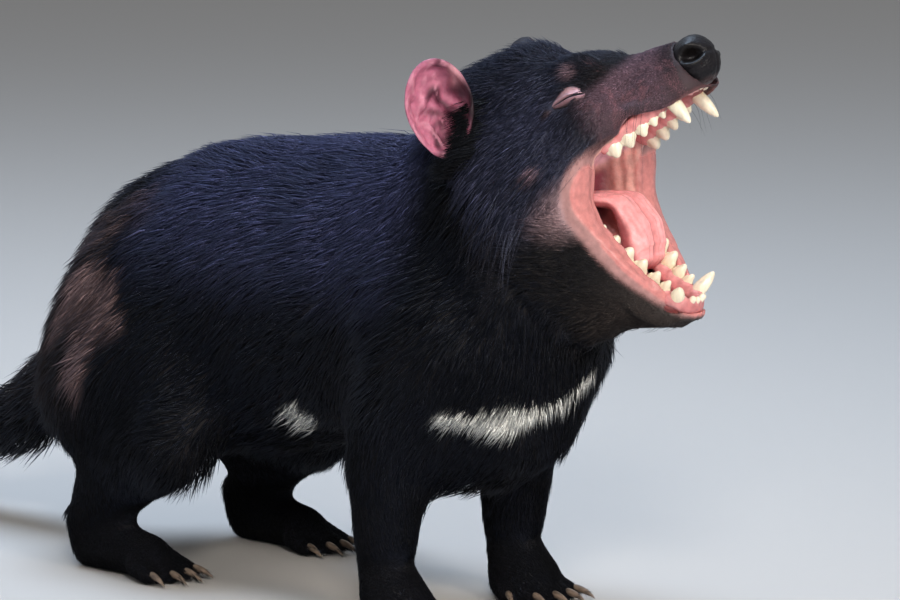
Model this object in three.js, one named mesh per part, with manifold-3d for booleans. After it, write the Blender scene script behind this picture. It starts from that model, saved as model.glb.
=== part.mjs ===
// A life-size tasmanian devil, standing on all fours with its head raised and its mouth wide open.
// Millimetres, +Z up. +X is the way the body faces and +Y is its left side. The origin is on the
// floor, under the middle of the animal.

import * as THREE from 'three';
import { mergeVertices } from 'three/addons/utils/BufferGeometryUtils.js';
import { SimplifyModifier } from 'three/addons/modifiers/SimplifyModifier.js';
import Module from 'manifold-3d';

const wasm = await Module();
wasm.setup();

// The pose. The body is laid out from a point on the floor below its middle, and MIDDLE is where
// the whole animal, tail and all, has the middle of its length and width.
const MIDDLE = [-45, 0, 0];
const JAW_HINGE = [200, 8, 236];
const HEAD_TURN = 17;
const SKULL_TILT = 33;
const JAW_TILT = -41.6;
const GAP = 0.3;
const FAR = 1200;

// Torso and neck: centre and half sizes of each bulk.
const CHEST = { at: [112, 0, 162], half: [98, 66, 80] };
const BRISKET = { at: [145, 0, 119], half: [57, 58, 48] };
const WITHERS = { at: [88, 0, 202], half: [92, 52, 54] };
const BARREL = { at: [-8, 0, 162], half: [122, 70, 87] };
const RUMP = { at: [-96, 0, 140], half: [76, 64, 80] };
const NECK = { from: [148, 0, 188], fromRadius: 62, to: [182, 3, 222], toRadius: 56 };
const TRUNK_BLEND = 30;
const LIMB_BLEND = 20;
const NECK_BLEND = 22;

// Legs: half the width of the stance and the joints as seen from the side.
const FORE_TRACK = 49;
const SHOULDER = { at: [148, 145], radius: 38 };
const ELBOW = { at: [121, 92], radius: 28 };
const WRIST = { at: [118, 34], radius: 16.5 };
const PALM = { at: [126, 14], half: [22, 18, 14.8] };
const PALM_BLEND = 10;
const HIND_TRACK = 60;
const KNEE = { at: [-46, 84], radius: 32 };
const HOCK = { at: [-108, 34], radius: 16 };
const THIGH = { at: [-98, 46, 112], half: [64, 40.5, 64] };
const FOOT_LENGTH = 44;
const HINDLEG_BLEND = 16;

// Feet.
const TOE_RADIUS = 5.6;
const TOE_SPACING = 8.6;
const HEEL_RADIUS = 13.5;
const SOLE_PRESS = 1.4;
const CLAW_LENGTH = 12;
const CLAW_RADIUS = 2.4;
const TOE_REACH = 20;
const FORE_KNUCKLE = 132;
const HIND_KNUCKLE = -58;

// Tail: places along its middle line with the radius at each.
const TAIL = [
  { at: [-140, 0, 128], radius: 27 },
  { at: [-185, 0, 100], radius: 25 },
  { at: [-240, 0, 64], radius: 23 },
  { at: [-300, 2, 42], radius: 18 },
  { at: [-362, 6, 31], radius: 11 },
];

// Head, in frames that hang on the jaw hinge: HEAD_FRAME is level, SKULL_FRAME runs along the
// palate and JAW_FRAME along the lower tooth row.
const turn = (degrees) => THREE.MathUtils.degToRad(degrees);
const HEAD_FRAME = new THREE.Matrix4().makeTranslation(...JAW_HINGE)
  .multiply(new THREE.Matrix4().makeRotationZ(turn(HEAD_TURN)));
const SKULL_FRAME = HEAD_FRAME.clone().multiply(new THREE.Matrix4().makeRotationY(turn(-SKULL_TILT)));
const JAW_FRAME = HEAD_FRAME.clone().multiply(new THREE.Matrix4().makeRotationY(turn(-JAW_TILT)));
const BODY_FRAME = new THREE.Matrix4();

// Bulks of the head, those beside its middle given for the left side: on the skull, on the jaw
// and, for the throat and the corners of the mouth, in the level frame.
const CRANIUM = { at: [8, 0, 34], half: [46, 43, 37] };
const NAPE = { at: [-16, 0, 50], half: [46, 40, 32] };
const FOREHEAD = { at: [40, 0, 32], half: [30, 31, 21] };
const MUZZLE = { from: [50, 0, 22], fromRadius: 24, to: [89, 0, 19], toRadius: 15.5 };
const WHISKER_PAD = { at: [70, 10, 13], half: [27, 12, 11] };
const CHEEK = { at: [22, 28, 16], half: [38, 22, 30] };
const JOWL = { at: [-8, 34, 4], half: [40, 24, 40] };
const BROW = { at: [42, 23, 46], half: [15, 10, 8] };
const JAW_SIDE = { from: [15, 27, -8], fromRadius: 18, to: [82, 9, -4], toRadius: 9 };
const CHIN = { at: [84, 0, -1], half: [13, 14, 10] };
const JAW_BASE = { at: [45, 0, -12], half: [46, 25, 17] };
const MOUTH_CORNER = { at: [8, 0, 0], half: [34, 41, 44] };
const THROAT = { at: [14, 0, -36], half: [58, 44, 42] };
const HEAD_BLEND = 10;

// Mouth: the lips' edge on one side, in the level head frame, from the middle of the upper lip
// round the corner to the middle of the lower lip.
const LIP_EDGE = [
  [80, 0, 61], [77, 8, 60], [71.8, 16, 58], [57.6, 23, 47], [43, 30, 37], [31.8, 35, 26.5],
  [25, 38, 16], [21.7, 39, 3], [24, 37, -12.5], [27, 31, -25], [34.6, 27, -38], [46.5, 22.5, -47.5],
  [57, 18, -56], [65, 14, -60], [72.5, 7, -62], [75, 0, -62],
];
const LIP_RADIUS = 3.4;
const LIP_BLEND = 3;
const GAPE_APEX = [48, 1];
const GAPE_ROUND = 24.5;
const GAPE_UP = 38;
const GAPE_DOWN = -43;

// The mouth's cavity: how high the palate and how low the floor lies, and how far it reaches along
// and beside each tooth row, from START.
const PALATE = { level: 9, long: 72, wide: 28 };
const MOUTH_FLOOR = { level: -8, long: 71, wide: 27 };
const CAVITY_START = 20;
const CAVITY_BACK = 4;
const CAVITY_BLEND = 8;

// Eyes, ears and nose. The ear stands in the level head frame, the others in the skull's.
const EYE = {
  at: [40.5, 29.5, 30], out: [0.3, 0.88, 0.38], radius: 5.6, lid: 2, slit: [15, 4.5], slitDepth: 5,
};
const EAR = {
  at: [-53, 47, 43], out: [0.46, 0.88, 0.08], up: [-0.22, 0, 0.97],
  half: [19, 28], deep: 17, wall: 2.6, taper: 0.22,
};
const NOSE = { at: [98, 0, 19], half: [12.5, 13.5, 13.5] };
const NOSTRIL = { at: [107.5, 8, 21.5], out: [0.7, 0.68, 0.1], half: [5, 3.6, 3] };

// Tooth rows, each in its own frame: places along one side with the length and radius of each
// tooth, and the gum under them.
const UPPER_TEETH = [
  { at: [95.5, 2, 5], long: 6, wide: 1.7 },
  { at: [94.5, 5.6, 5.5], long: 6, wide: 1.7 },
  { at: [92, 8.8, 6.5], long: 6, wide: 1.8 },
  { at: [84.5, 13.2, 6.5], long: 16.5, wide: 4.6, lean: [0.3, 0.1] },
  { at: [76, 14.5, 7.5], long: 8, wide: 2.8 },
  { at: [69, 16, 7], long: 8.5, wide: 3.2 },
  { at: [61, 18, 6.5], long: 9.5, wide: 3.8 },
  { at: [52.5, 20.5, 5.5], long: 9.5, wide: 4.2 },
  { at: [44, 23, 4.5], long: 9, wide: 4.2 },
];
const LOWER_TEETH = [
  { at: [93.5, 2, 5], long: 6, wide: 1.6 },
  { at: [92.5, 5.4, 5], long: 6, wide: 1.7 },
  { at: [89, 11.5, 3.5], long: 15.5, wide: 4.2, lean: [-0.06, 0.34] },
  { at: [78, 13, 1], long: 8, wide: 2.8 },
  { at: [71, 15, -1], long: 9, wide: 3.2 },
  { at: [62, 17.5, -2], long: 10, wide: 3.8 },
  { at: [53, 20, -3], long: 11, wide: 4.2 },
  { at: [44, 22.5, -3], long: 11, wide: 4.2 },
  { at: [35, 24.5, -3], long: 10, wide: 4 },
];
const GUM = { wide: 4.6, high: 4.4 };
const LONG_TOOTH = 15;

// Tongue: its middle line in the level head frame, arched up out of the throat and down to the
// floor of the mouth, with the radius of its edges and how far they lie apart.
const TONGUE = [
  { at: [2, 5, -11], radius: 7 },
  { at: [18, 6, -9], radius: 6.5 },
  { at: [30, 7, -9.5], radius: 7 },
  { at: [38, 6, -20], radius: 8 },
  { at: [41, 5, -33], radius: 8 },
  { at: [49, 5, -43], radius: 7 },
  { at: [58, 4, -50], radius: 5.5 },
];
const TONGUE_SPREAD = 8;

// Boxes that the skins are taken from, with the grid's cell and how many triangles each keeps.
const HEAD_GRID = { low: [140, -70, 140], high: [310, 90, 330], cell: 3, triangles: 2500 };
const BODY_GRID = { low: [-400, -120, -10], high: [260, 120, 330], cell: 6, triangles: 2330 };
const TONGUE_GRID = { low: [170, -40, 150], high: [300, 60, 260], cell: 3.4, triangles: 400 };
const FOOT_GRID = { beside: 34, low: -8, high: 48, cell: 2.6, triangles: 380 };
const FORE_SPAN = [90, 175];
const HIND_SPAN = [-140, -20];

// The long coat: rows of flat tapered locks, given for the left side. A lock's root is met by going
// inward to one side of the body from a place between from and to, and it lies along lie.
const LOCK = { wide: 14, thick: 2.2, root: 3.5, lift: 4, cling: 2.4, rings: 3, clear: 2 };
const SWAY = [0.15, 0.12, 0.15];
const INWARD = {
  front: [-1, 0, 0], rear: [1, 0, 0], side: [0, -1, 0], top: [0, 0, -1], under: [0, 0, 1],
};
const LOCK_ROWS = [
  // throat
  { on: 'front', from: [260, 4, 152], to: [245, 44, 160],
    lie: [-0.3, 0, -1], count: 3, long: 28 },
  // neck side
  { on: 'side', from: [196, 130, 225], to: [206, 130, 165],
    lie: [-0.4, 0, -1], count: 3, long: 28 },
  // brisket front
  { on: 'front', from: [260, 7, 112], to: [240, 27, 106],
    lie: [-0.3, 0, -1], count: 2, long: 30 },
  // brisket
  { on: 'under', from: [178, 8, 30], to: [140, 14, 30],
    lie: [-1, 0, -0.2], count: 2, long: 32 },
  // belly
  { on: 'under', from: [56, 12, 30], to: [-20, 16, 30],
    lie: [-1, 0, -0.2], count: 3, long: 38 },
  // belly side
  { on: 'under', from: [50, 42, 30], to: [0, 42, 30],
    lie: [-1, 0.1, -0.2], count: 2, long: 38 },
  // flank
  { on: 'side', from: [62, 130, 140], to: [0, 130, 142],
    lie: [-0.8, 0, -0.6], count: 3, long: 40 },
  // side
  { on: 'side', from: [140, 130, 192], to: [-80, 130, 188],
    lie: [-0.9, 0, -0.4], count: 5, long: 42 },
  // high side
  { on: 'side', from: [110, 130, 222], to: [-90, 130, 218],
    lie: [-0.95, 0, -0.3], count: 4, long: 42 },
  // back
  { on: 'top', from: [96, 18, 330], to: [-40, 20, 330],
    lie: [-1, 0.1, -0.1], count: 3, long: 40 },
  // rump
  { on: 'top', from: [-84, 26, 330], to: [-130, 20, 330],
    lie: [-1, 0, -0.6], count: 2, long: 38 },
  // shoulder
  { on: 'side', from: [90, 130, 142], to: [164, 130, 138],
    lie: [-0.4, 0, -1], count: 4, long: 36 },
  // elbow
  { on: 'rear', from: [40, 56, 112], to: [40, 46, 84],
    lie: [-0.3, 0, -1], count: 2, long: 28 },
  // thigh
  { on: 'side', from: [-146, 130, 126], to: [-60, 130, 128],
    lie: [-0.5, 0, -1], count: 4, long: 38 },
  // buttock
  { on: 'rear', from: [-260, 36, 112], to: [-250, 62, 90],
    lie: [-0.2, 0, -1], count: 3, long: 32 },
  // tail side
  { on: 'side', from: [-186, 80, 104], to: [-216, 80, 80],
    lie: [-0.84, 0, -0.54], count: 2, long: 32 },
  // tail top
  { on: 'top', from: [-196, 8, 170], to: [-210, 8, 160],
    lie: [-0.84, 0, -0.54], count: 1, long: 32 },
  // tail under
  { on: 'under', from: [-196, 7, 10], to: [-216, 9, 10],
    lie: [-0.9, 0, -0.3], count: 1, long: 30 },
  // tip side
  { on: 'side', from: [-276, 80, 48], to: [-336, 80, 36],
    lie: [-1, 0, -0.2], count: 2, long: 36 },
  // tip top
  { on: 'top', from: [-272, 8, 100], to: [-340, 10, 80],
    lie: [-1, 0, -0.2], count: 2, long: 34 },
  // tip under
  { on: 'under', from: [-290, 8, 5], to: [-330, 10, 5],
    lie: [-1, 0, 0], count: 1, long: 32 },
];

const SKIN_COLOUR = '#17151a';
const GUM_COLOUR = '#c87a70';
const TONGUE_COLOUR = '#d08a86';
const EAR_COLOUR = '#a85f70';
const NOSE_COLOUR = '#1d1a20';
const EYE_COLOUR = '#0c0a0a';

// Forms. A form is a function of a point that gives roughly how far the point lies outside of it,
// and less than zero inside.

function egg(frame, { at, half }) {
  const inverse = frame.clone().multiply(new THREE.Matrix4().makeTranslation(...at)).invert();
  const point = new THREE.Vector3();
  return (x, y, z) => {
    point.set(x, y, z).applyMatrix4(inverse);
    const a = point.x / half[0];
    const b = point.y / half[1];
    const c = point.z / half[2];
    const near = Math.hypot(a, b, c);
    const slope = Math.hypot(a / half[0], b / half[1], c / half[2]);
    return slope < 1e-9 ? -Math.min(...half) : near * (near - 1) / slope;
  };
}

function limb(frame, start, startRadius, end, endRadius) {
  const from = new THREE.Vector3(...start).applyMatrix4(frame);
  const along = new THREE.Vector3(...end).applyMatrix4(frame).sub(from);
  const length2 = along.lengthSq();
  return (x, y, z) => {
    const dx = x - from.x;
    const dy = y - from.y;
    const dz = z - from.z;
    const share = (dx * along.x + dy * along.y + dz * along.z) / length2;
    const t = Math.min(1, Math.max(0, share));
    const away = Math.hypot(dx - t * along.x, dy - t * along.y, dz - t * along.z);
    return away - startRadius - t * (endRadius - startRadius);
  };
}

function chain(frame, places, radii) {
  const links = places.slice(1).map((place, i) => limb(frame, places[i], radii[i], place, radii[i + 1]));
  return (x, y, z) => Math.min(...links.map((link) => link(x, y, z)));
}

function mirrored(make) {
  return [make(1), make(-1)];
}

function softMin(a, b, blend) {
  const h = Math.max(blend - Math.abs(a - b), 0) / blend;
  return Math.min(a, b) - h * h * blend / 4;
}

function joined(forms, blend) {
  return (x, y, z) => {
    let value = forms[0](x, y, z);
    for (let i = 1; i < forms.length; i += 1) value = softMin(value, forms[i](x, y, z), blend);
    return value;
  };
}

function hollowed(form, hollow, blend) {
  return (x, y, z) => -softMin(-form(x, y, z), hollow(x, y, z), blend);
}

// The outside of the head, shut as if the mouth were filled.

function pair(frame, bulk) {
  return mirrored((side) => egg(frame, { ...bulk, at: sideways(side, bulk.at) }));
}

function headForm() {
  const muzzle = limb(SKULL_FRAME, MUZZLE.from, MUZZLE.fromRadius, MUZZLE.to, MUZZLE.toRadius);
  const jawSides = mirrored((side) => limb(
    JAW_FRAME,
    sideways(side, JAW_SIDE.from),
    JAW_SIDE.fromRadius,
    sideways(side, JAW_SIDE.to),
    JAW_SIDE.toRadius,
  ));
  return joined([
    ...[CRANIUM, NAPE, FOREHEAD].map((bulk) => egg(SKULL_FRAME, bulk)),
    muzzle,
    ...[WHISKER_PAD, CHEEK, JOWL, BROW].flatMap((bulk) => pair(SKULL_FRAME, bulk)),
    ...jawSides,
    ...[CHIN, JAW_BASE].map((bulk) => egg(JAW_FRAME, bulk)),
    ...[MOUTH_CORNER, THROAT].map((bulk) => egg(HEAD_FRAME, bulk)),
  ], HEAD_BLEND);
}

// The open mouth: a rounded notch from side to side, and behind the lips a cavity between the
// palate and the floor of the mouth that narrows along the tooth rows.

function notch() {
  const inverse = HEAD_FRAME.clone().invert();
  const point = new THREE.Vector3();
  const up = [Math.cos(turn(GAPE_UP)), Math.sin(turn(GAPE_UP))];
  const down = [Math.cos(turn(GAPE_DOWN)), Math.sin(turn(GAPE_DOWN))];
  return (x, y, z) => {
    point.set(x, y, z).applyMatrix4(inverse);
    const u = point.x - GAPE_APEX[0];
    const w = point.z - GAPE_APEX[1];
    const above = w * up[0] - u * up[1];
    const below = u * down[1] - w * down[0];
    if (above < 0 && below < 0) return Math.max(above, below) - GAPE_ROUND;
    const side = above > below ? up : down;
    const t = Math.max(0, u * side[0] + w * side[1]);
    return Math.hypot(u - t * side[0], w - t * side[1]) - GAPE_ROUND;
  };
}

function cavity() {
  const toSkull = SKULL_FRAME.clone().invert();
  const toJaw = JAW_FRAME.clone().invert();
  const toHead = HEAD_FRAME.clone().invert();
  const inSkull = new THREE.Vector3();
  const inJaw = new THREE.Vector3();
  const inHead = new THREE.Vector3();
  const rowSpace = (point, { long, wide }) => {
    const forward = Math.max(0, point.x - CAVITY_START) / long;
    return (Math.hypot(forward, point.y / wide) - 1) * wide;
  };
  const softMax = (a, b) => -softMin(-a, -b, CAVITY_BLEND);
  return (x, y, z) => {
    inSkull.set(x, y, z).applyMatrix4(toSkull);
    inJaw.set(x, y, z).applyMatrix4(toJaw);
    inHead.set(x, y, z).applyMatrix4(toHead);
    const rows = softMax(rowSpace(inSkull, PALATE), rowSpace(inJaw, MOUTH_FLOOR));
    const height = softMax(inSkull.z - PALATE.level, MOUTH_FLOOR.level - inJaw.z);
    return softMax(softMax(rows, height), CAVITY_BACK - inHead.x);
  };
}

function lips() {
  const sides = mirrored((side) => chain(
    HEAD_FRAME,
    LIP_EDGE.map(([u, v, w]) => [u, v * side, w]),
    LIP_EDGE.map(() => LIP_RADIUS),
  ));
  return (x, y, z) => Math.min(sides[0](x, y, z), sides[1](x, y, z));
}

// The whole skin, from lips to tail.

function foreleg(side) {
  const joints = [SHOULDER, ELBOW, WRIST].map(({ at }) => [at[0], FORE_TRACK * side, at[1]]);
  return joined([
    chain(BODY_FRAME, joints, [SHOULDER.radius, ELBOW.radius, WRIST.radius]),
    egg(BODY_FRAME, { at: [PALM.at[0], FORE_TRACK * side, PALM.at[1]], half: PALM.half }),
  ], PALM_BLEND);
}

function hindleg(side) {
  const joints = [KNEE, HOCK].map(({ at }) => [at[0], HIND_TRACK * side, at[1]]);
  const heel = [HOCK.at[0] + 2, HIND_TRACK * side, HEEL_RADIUS - SOLE_PRESS];
  const ball = [heel[0] + FOOT_LENGTH, heel[1], heel[2]];
  return joined([
    egg(BODY_FRAME, { ...THIGH, at: sideways(side, THIGH.at) }),
    chain(BODY_FRAME, joints, [KNEE.radius, HOCK.radius]),
    limb(BODY_FRAME, heel, HEEL_RADIUS, ball, HEEL_RADIUS),
  ], HINDLEG_BLEND);
}

function tail() {
  return chain(BODY_FRAME, TAIL.map(({ at }) => at), TAIL.map(({ radius }) => radius));
}

function bodyForm() {
  const trunk = [
    egg(BODY_FRAME, CHEST),
    egg(BODY_FRAME, BRISKET),
    egg(BODY_FRAME, WITHERS),
    egg(BODY_FRAME, BARREL),
    egg(BODY_FRAME, RUMP),
    limb(BODY_FRAME, NECK.from, NECK.fromRadius, NECK.to, NECK.toRadius),
  ];
  const limbs = [...mirrored(foreleg), ...mirrored(hindleg)];
  return joined([joined(trunk, TRUNK_BLEND), tail(), ...limbs], LIMB_BLEND);
}

// Toes: four side by side that point ahead, and on the forefoot a fifth on the inner side.

function toePlaces(knuckle, track, side, inner) {
  const rows = [-1.5, -0.5, 0.5, 1.5].map((row) => {
    const tip = [knuckle + TOE_REACH - 2.2 * row * row, track * side + row * TOE_SPACING * 1.2];
    return {
      base: [knuckle, track * side + row * TOE_SPACING, TOE_RADIUS + 3],
      tip: [...tip, TOE_RADIUS - SOLE_PRESS],
    };
  });
  if (inner) {
    rows.push({
      base: [knuckle - 14, (track - 10) * side, TOE_RADIUS + 2],
      tip: [knuckle + 2, (track - 21) * side, TOE_RADIUS - SOLE_PRESS],
    });
  }
  return rows;
}

const foreToes = (side) => toePlaces(FORE_KNUCKLE, FORE_TRACK, side, true);
const hindToes = (side) => toePlaces(HIND_KNUCKLE, HIND_TRACK, side, false);

function foot(leg, places) {
  const digits = places.map(({ base, tip }) => limb(BODY_FRAME, base, TOE_RADIUS + 1, tip, TOE_RADIUS));
  return joined([leg, joined(digits, 1.5)], 4);
}

// Solids from forms.

// The surface of a form inside a box: one point for each cell that the surface crosses, moved onto
// the surface, and one quad for each crossed edge between the cells.
function surfaceOf(form, { low, high, cell }) {
  const count = low.map((value, axis) => Math.ceil((high[axis] - value) / cell) + 1);
  const step = [1, count[0], count[0] * count[1]];
  const place = (index, axis) => low[axis] + index * cell;
  const values = valuesOf(form, count, place, cell);
  const cellPoint = new Map();
  const positions = [];
  for (let k = 0; k < count[2] - 1; k += 1) {
    for (let j = 0; j < count[1] - 1; j += 1) {
      for (let i = 0; i < count[0] - 1; i += 1) {
        const n = i + j * step[1] + k * step[2];
        const corner = ([a, b, c]) => values[n + a + b * step[1] + c * step[2]];
        const middle = crossingMiddle(CELL_CORNERS.map(corner));
        if (!middle) continue;
        const point = middle.map((value, axis) => place([i, j, k][axis] + value, axis));
        cellPoint.set(n, positions.length / 3);
        positions.push(...ontoSurface(form, point, cell));
      }
    }
  }
  const index = [];
  for (let axis = 0; axis < 3; axis += 1) {
    const across = step[(axis + 1) % 3];
    const up = step[(axis + 2) % 3];
    for (let n = across + up; n < values.length - step[axis]; n += 1) {
      const inside = values[n] < 0;
      if (inside === values[n + step[axis]] < 0) continue;
      const quad = [n - across - up, n - up, n, n - across].map((cellIndex) => cellPoint.get(cellIndex));
      if (!inside) quad.reverse();
      index.push(quad[0], quad[1], quad[2], quad[0], quad[2], quad[3]);
    }
  }
  const geometry = new THREE.BufferGeometry();
  geometry.setAttribute('position', new THREE.Float32BufferAttribute(positions, 3));
  geometry.setIndex(index);
  return geometry;
}

const CELL_CORNERS = [0, 1, 2, 3, 4, 5, 6, 7].map((bits) => [bits & 1, (bits >> 1) & 1, bits >> 2]);
const CELL_EDGES = CELL_CORNERS.flatMap((_, a) => (
  [1, 2, 4].filter((bit) => !(a & bit)).map((bit) => [a, a | bit])
));

// The form at each corner of the grid. The grid's own border always counts as outside.
function valuesOf(form, count, place, cell) {
  const values = new Float32Array(count[0] * count[1] * count[2]);
  let n = 0;
  for (let k = 0; k < count[2]; k += 1) {
    for (let j = 0; j < count[1]; j += 1) {
      for (let i = 0; i < count[0]; i += 1) {
        const far = i === count[0] - 1 || j === count[1] - 1 || k === count[2] - 1;
        const border = far || i * j * k === 0;
        const value = form(place(i, 0), place(j, 1), place(k, 2));
        values[n] = border ? Math.max(value, cell / 2) : value;
        n += 1;
      }
    }
  }
  return values;
}

// The middle of the points where a surface crosses the edges of one cell, in parts of the cell.
function crossingMiddle(values) {
  const inside = values.filter((value) => value < 0).length;
  if (inside === 0 || inside === 8) return null;
  const crossed = CELL_EDGES.filter(([a, b]) => (values[a] < 0) !== (values[b] < 0));
  return [0, 1, 2].map((axis) => crossed.reduce((sum, [a, b]) => {
    const share = values[a] / (values[a] - values[b]);
    return sum + CELL_CORNERS[a][axis] + share * (CELL_CORNERS[b][axis] - CELL_CORNERS[a][axis]);
  }, 0) / crossed.length);
}

function slopeOf(form, [x, y, z]) {
  const small = 0.05;
  const value = form(x, y, z);
  return [
    (form(x + small, y, z) - value) / small,
    (form(x, y + small, z) - value) / small,
    (form(x, y, z + small) - value) / small,
  ];
}

function ontoSurface(form, start, cell) {
  let point = start;
  for (let round = 0; round < 3; round += 1) {
    const slope = slopeOf(form, point);
    const steep = Math.max(slope[0] ** 2 + slope[1] ** 2 + slope[2] ** 2, 0.2);
    const reach = Math.max(-cell / 2, Math.min(cell / 2, form(...point))) / steep;
    point = point.map((value, axis) => value - slope[axis] * reach);
  }
  const moved = Math.hypot(point[0] - start[0], point[1] - start[1], point[2] - start[2]);
  return moved > cell ? start : point;
}

const thinner = new SimplifyModifier();

function solidOf(geometry) {
  const bare = new THREE.BufferGeometry();
  bare.setAttribute('position', geometry.getAttribute('position'));
  if (geometry.getIndex()) bare.setIndex(geometry.getIndex());
  const merged = mergeVertices(bare, 1e-4);
  return new wasm.Manifold(new wasm.Mesh({
    numProp: 3,
    vertProperties: new Float32Array(merged.getAttribute('position').array),
    triVerts: new Uint32Array(merged.getIndex().array),
  }));
}

async function shaped(form, grid) {
  const fine = surfaceOf(form, grid);
  const spare = Math.max(0, fine.getAttribute('position').count - grid.triangles / 2);
  return solidOf(await thinner.modify(fine, spare));
}

function placed(geometry, matrix) {
  return solidOf(geometry.clone().applyMatrix4(matrix));
}

// A frame inside another one: its own Z points along out, and its Y as nearly as it can along up.
function facing(frame, at, out, up = [0, 0, 1]) {
  const z = new THREE.Vector3(...out).normalize();
  const x = new THREE.Vector3(...up).cross(z).normalize();
  const y = z.clone().cross(x);
  return frame.clone().multiply(new THREE.Matrix4().makeBasis(x, y, z).setPosition(...at));
}

const sideways = (side, [x, y, z]) => [x, y * side, z];

// A frame moved along its own Z until it lies the given depth under the skin.
function sunk(frame, depth) {
  const point = new THREE.Vector3().setFromMatrixPosition(frame);
  const out = new THREE.Vector3().setFromMatrixColumn(frame, 2);
  for (let step = 0; step < 12; step += 1) point.addScaledVector(out, -skin(point.x, point.y, point.z));
  return frame.clone().setPosition(point.addScaledVector(out, -depth));
}

// A cut through the animal, and all that lies ahead of it or behind it, half a gap clear of it.
function cut(frame, at, normal) {
  return new THREE.Plane()
    .setFromNormalAndCoplanarPoint(new THREE.Vector3(...normal).normalize(), new THREE.Vector3(...at))
    .applyMatrix4(frame);
}

function ahead(plane) {
  const at = plane.normal.clone().multiplyScalar(-plane.constant);
  const level = Math.abs(plane.normal.z) > 0.9 ? [1, 0, 0] : [0, 0, 1];
  const matrix = facing(BODY_FRAME, at.toArray(), plane.normal.toArray(), level)
    .multiply(new THREE.Matrix4().makeTranslation(0, 0, (FAR + GAP) / 2));
  return placed(new THREE.BoxGeometry(FAR, FAR, FAR), matrix);
}

const behind = (plane) => ahead(plane.clone().negate());

function common(solids) {
  return solids.reduce((all, solid) => all.intersect(solid));
}

function fused(solids) {
  return solids.reduce((all, solid) => all.add(solid));
}

function without(solid, others) {
  return others.reduce((left, other) => left.subtract(other), solid);
}

function largest(solid) {
  return solid.decompose().sort((a, b) => b.volume() - a.volume())[0];
}

function geometryOf(solid) {
  const { vertProperties, triVerts, numProp } = solid.getMesh();
  const positions = new Float32Array(vertProperties.length / numProp * 3);
  for (let i = 0; i < positions.length / 3; i += 1) {
    positions.set(vertProperties.subarray(i * numProp, i * numProp + 3), i * 3);
  }
  const geometry = new THREE.BufferGeometry();
  geometry.setAttribute('position', new THREE.BufferAttribute(positions, 3));
  geometry.setIndex(new THREE.BufferAttribute(new Uint32Array(triVerts), 1));
  geometry.computeVertexNormals();
  return geometry;
}

// The same smooth solid with its surface moved out everywhere.
function swollen(solid, by) {
  const geometry = geometryOf(solid);
  const position = geometry.getAttribute('position');
  const normal = geometry.getAttribute('normal');
  for (let i = 0; i < position.count * 3; i += 1) position.array[i] += normal.array[i] * by;
  return solidOf(geometry);
}

// A ball with three half sizes.
function ball(frame, at, half, around = 16, high = 10) {
  const matrix = frame.clone().multiply(new THREE.Matrix4().makeTranslation(...at));
  return placed(new THREE.SphereGeometry(1, around, high).scale(...half), matrix);
}

// A tapered spike along its frame's Z from its root at zero: round or flat, and bent to one side.
function spike(frame, { long, wide, thick = wide, lean = 0, blunt = 1.6, around = 6, rings = 3 }) {
  const geometry = new THREE.ConeGeometry(1, 1, around, rings);
  geometry.rotateX(Math.PI / 2).translate(0, 0, 0.5);
  const position = geometry.getAttribute('position');
  for (let i = 0; i < position.count; i += 1) {
    const t = position.getZ(i);
    const full = t > 0.999 ? 0 : (1 - t ** blunt) / (1 - t);
    position.setX(i, position.getX(i) * wide * full);
    position.setY(i, position.getY(i) * thick * full + lean * t * t);
    position.setZ(i, t * long);
  }
  return placed(geometry, frame);
}

// Body parts.

// The two tooth rows. A gum is a rounded ridge along one row, and the teeth stand in it.
function gum(frame, teeth, grow) {
  const row = [...teeth].reverse().map(({ at }) => new THREE.Vector3(...at));
  const other = teeth.map(({ at }) => new THREE.Vector3(at[0], -at[1], at[2]));
  const path = new THREE.CatmullRomCurve3([...row, ...other]);
  const section = new THREE.Shape();
  section.absellipse(0, 0, GUM.wide + grow, GUM.high + grow, 0, Math.PI * 2);
  const ridge = new THREE.ExtrudeGeometry(section, { steps: 18, curveSegments: 4, extrudePath: path });
  return placed(ridge, frame);
}

function tooth(frame, { at, long, wide, lean = [0, 0] }, side, toMouth, grow) {
  const root = facing(frame, sideways(side, at), [lean[0], lean[1] * side, toMouth], [1, 0, 0]);
  return spike(root, { long: long + grow, wide: wide + grow, around: 5, rings: long > LONG_TOOTH ? 3 : 1 });
}

function toothRow(frame, teeth, toMouth, grow = 0) {
  const row = teeth.flatMap((one) => mirrored((side) => tooth(frame, one, side, toMouth, grow)));
  return fused([gum(frame, teeth, grow), ...row]);
}

function tongue() {
  const edges = mirrored((side) => chain(
    HEAD_FRAME,
    TONGUE.map(({ at }) => [at[0], at[1] + TONGUE_SPREAD * side, at[2]]),
    TONGUE.map(({ radius }) => radius),
  ));
  return joined(edges, 12);
}

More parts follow.
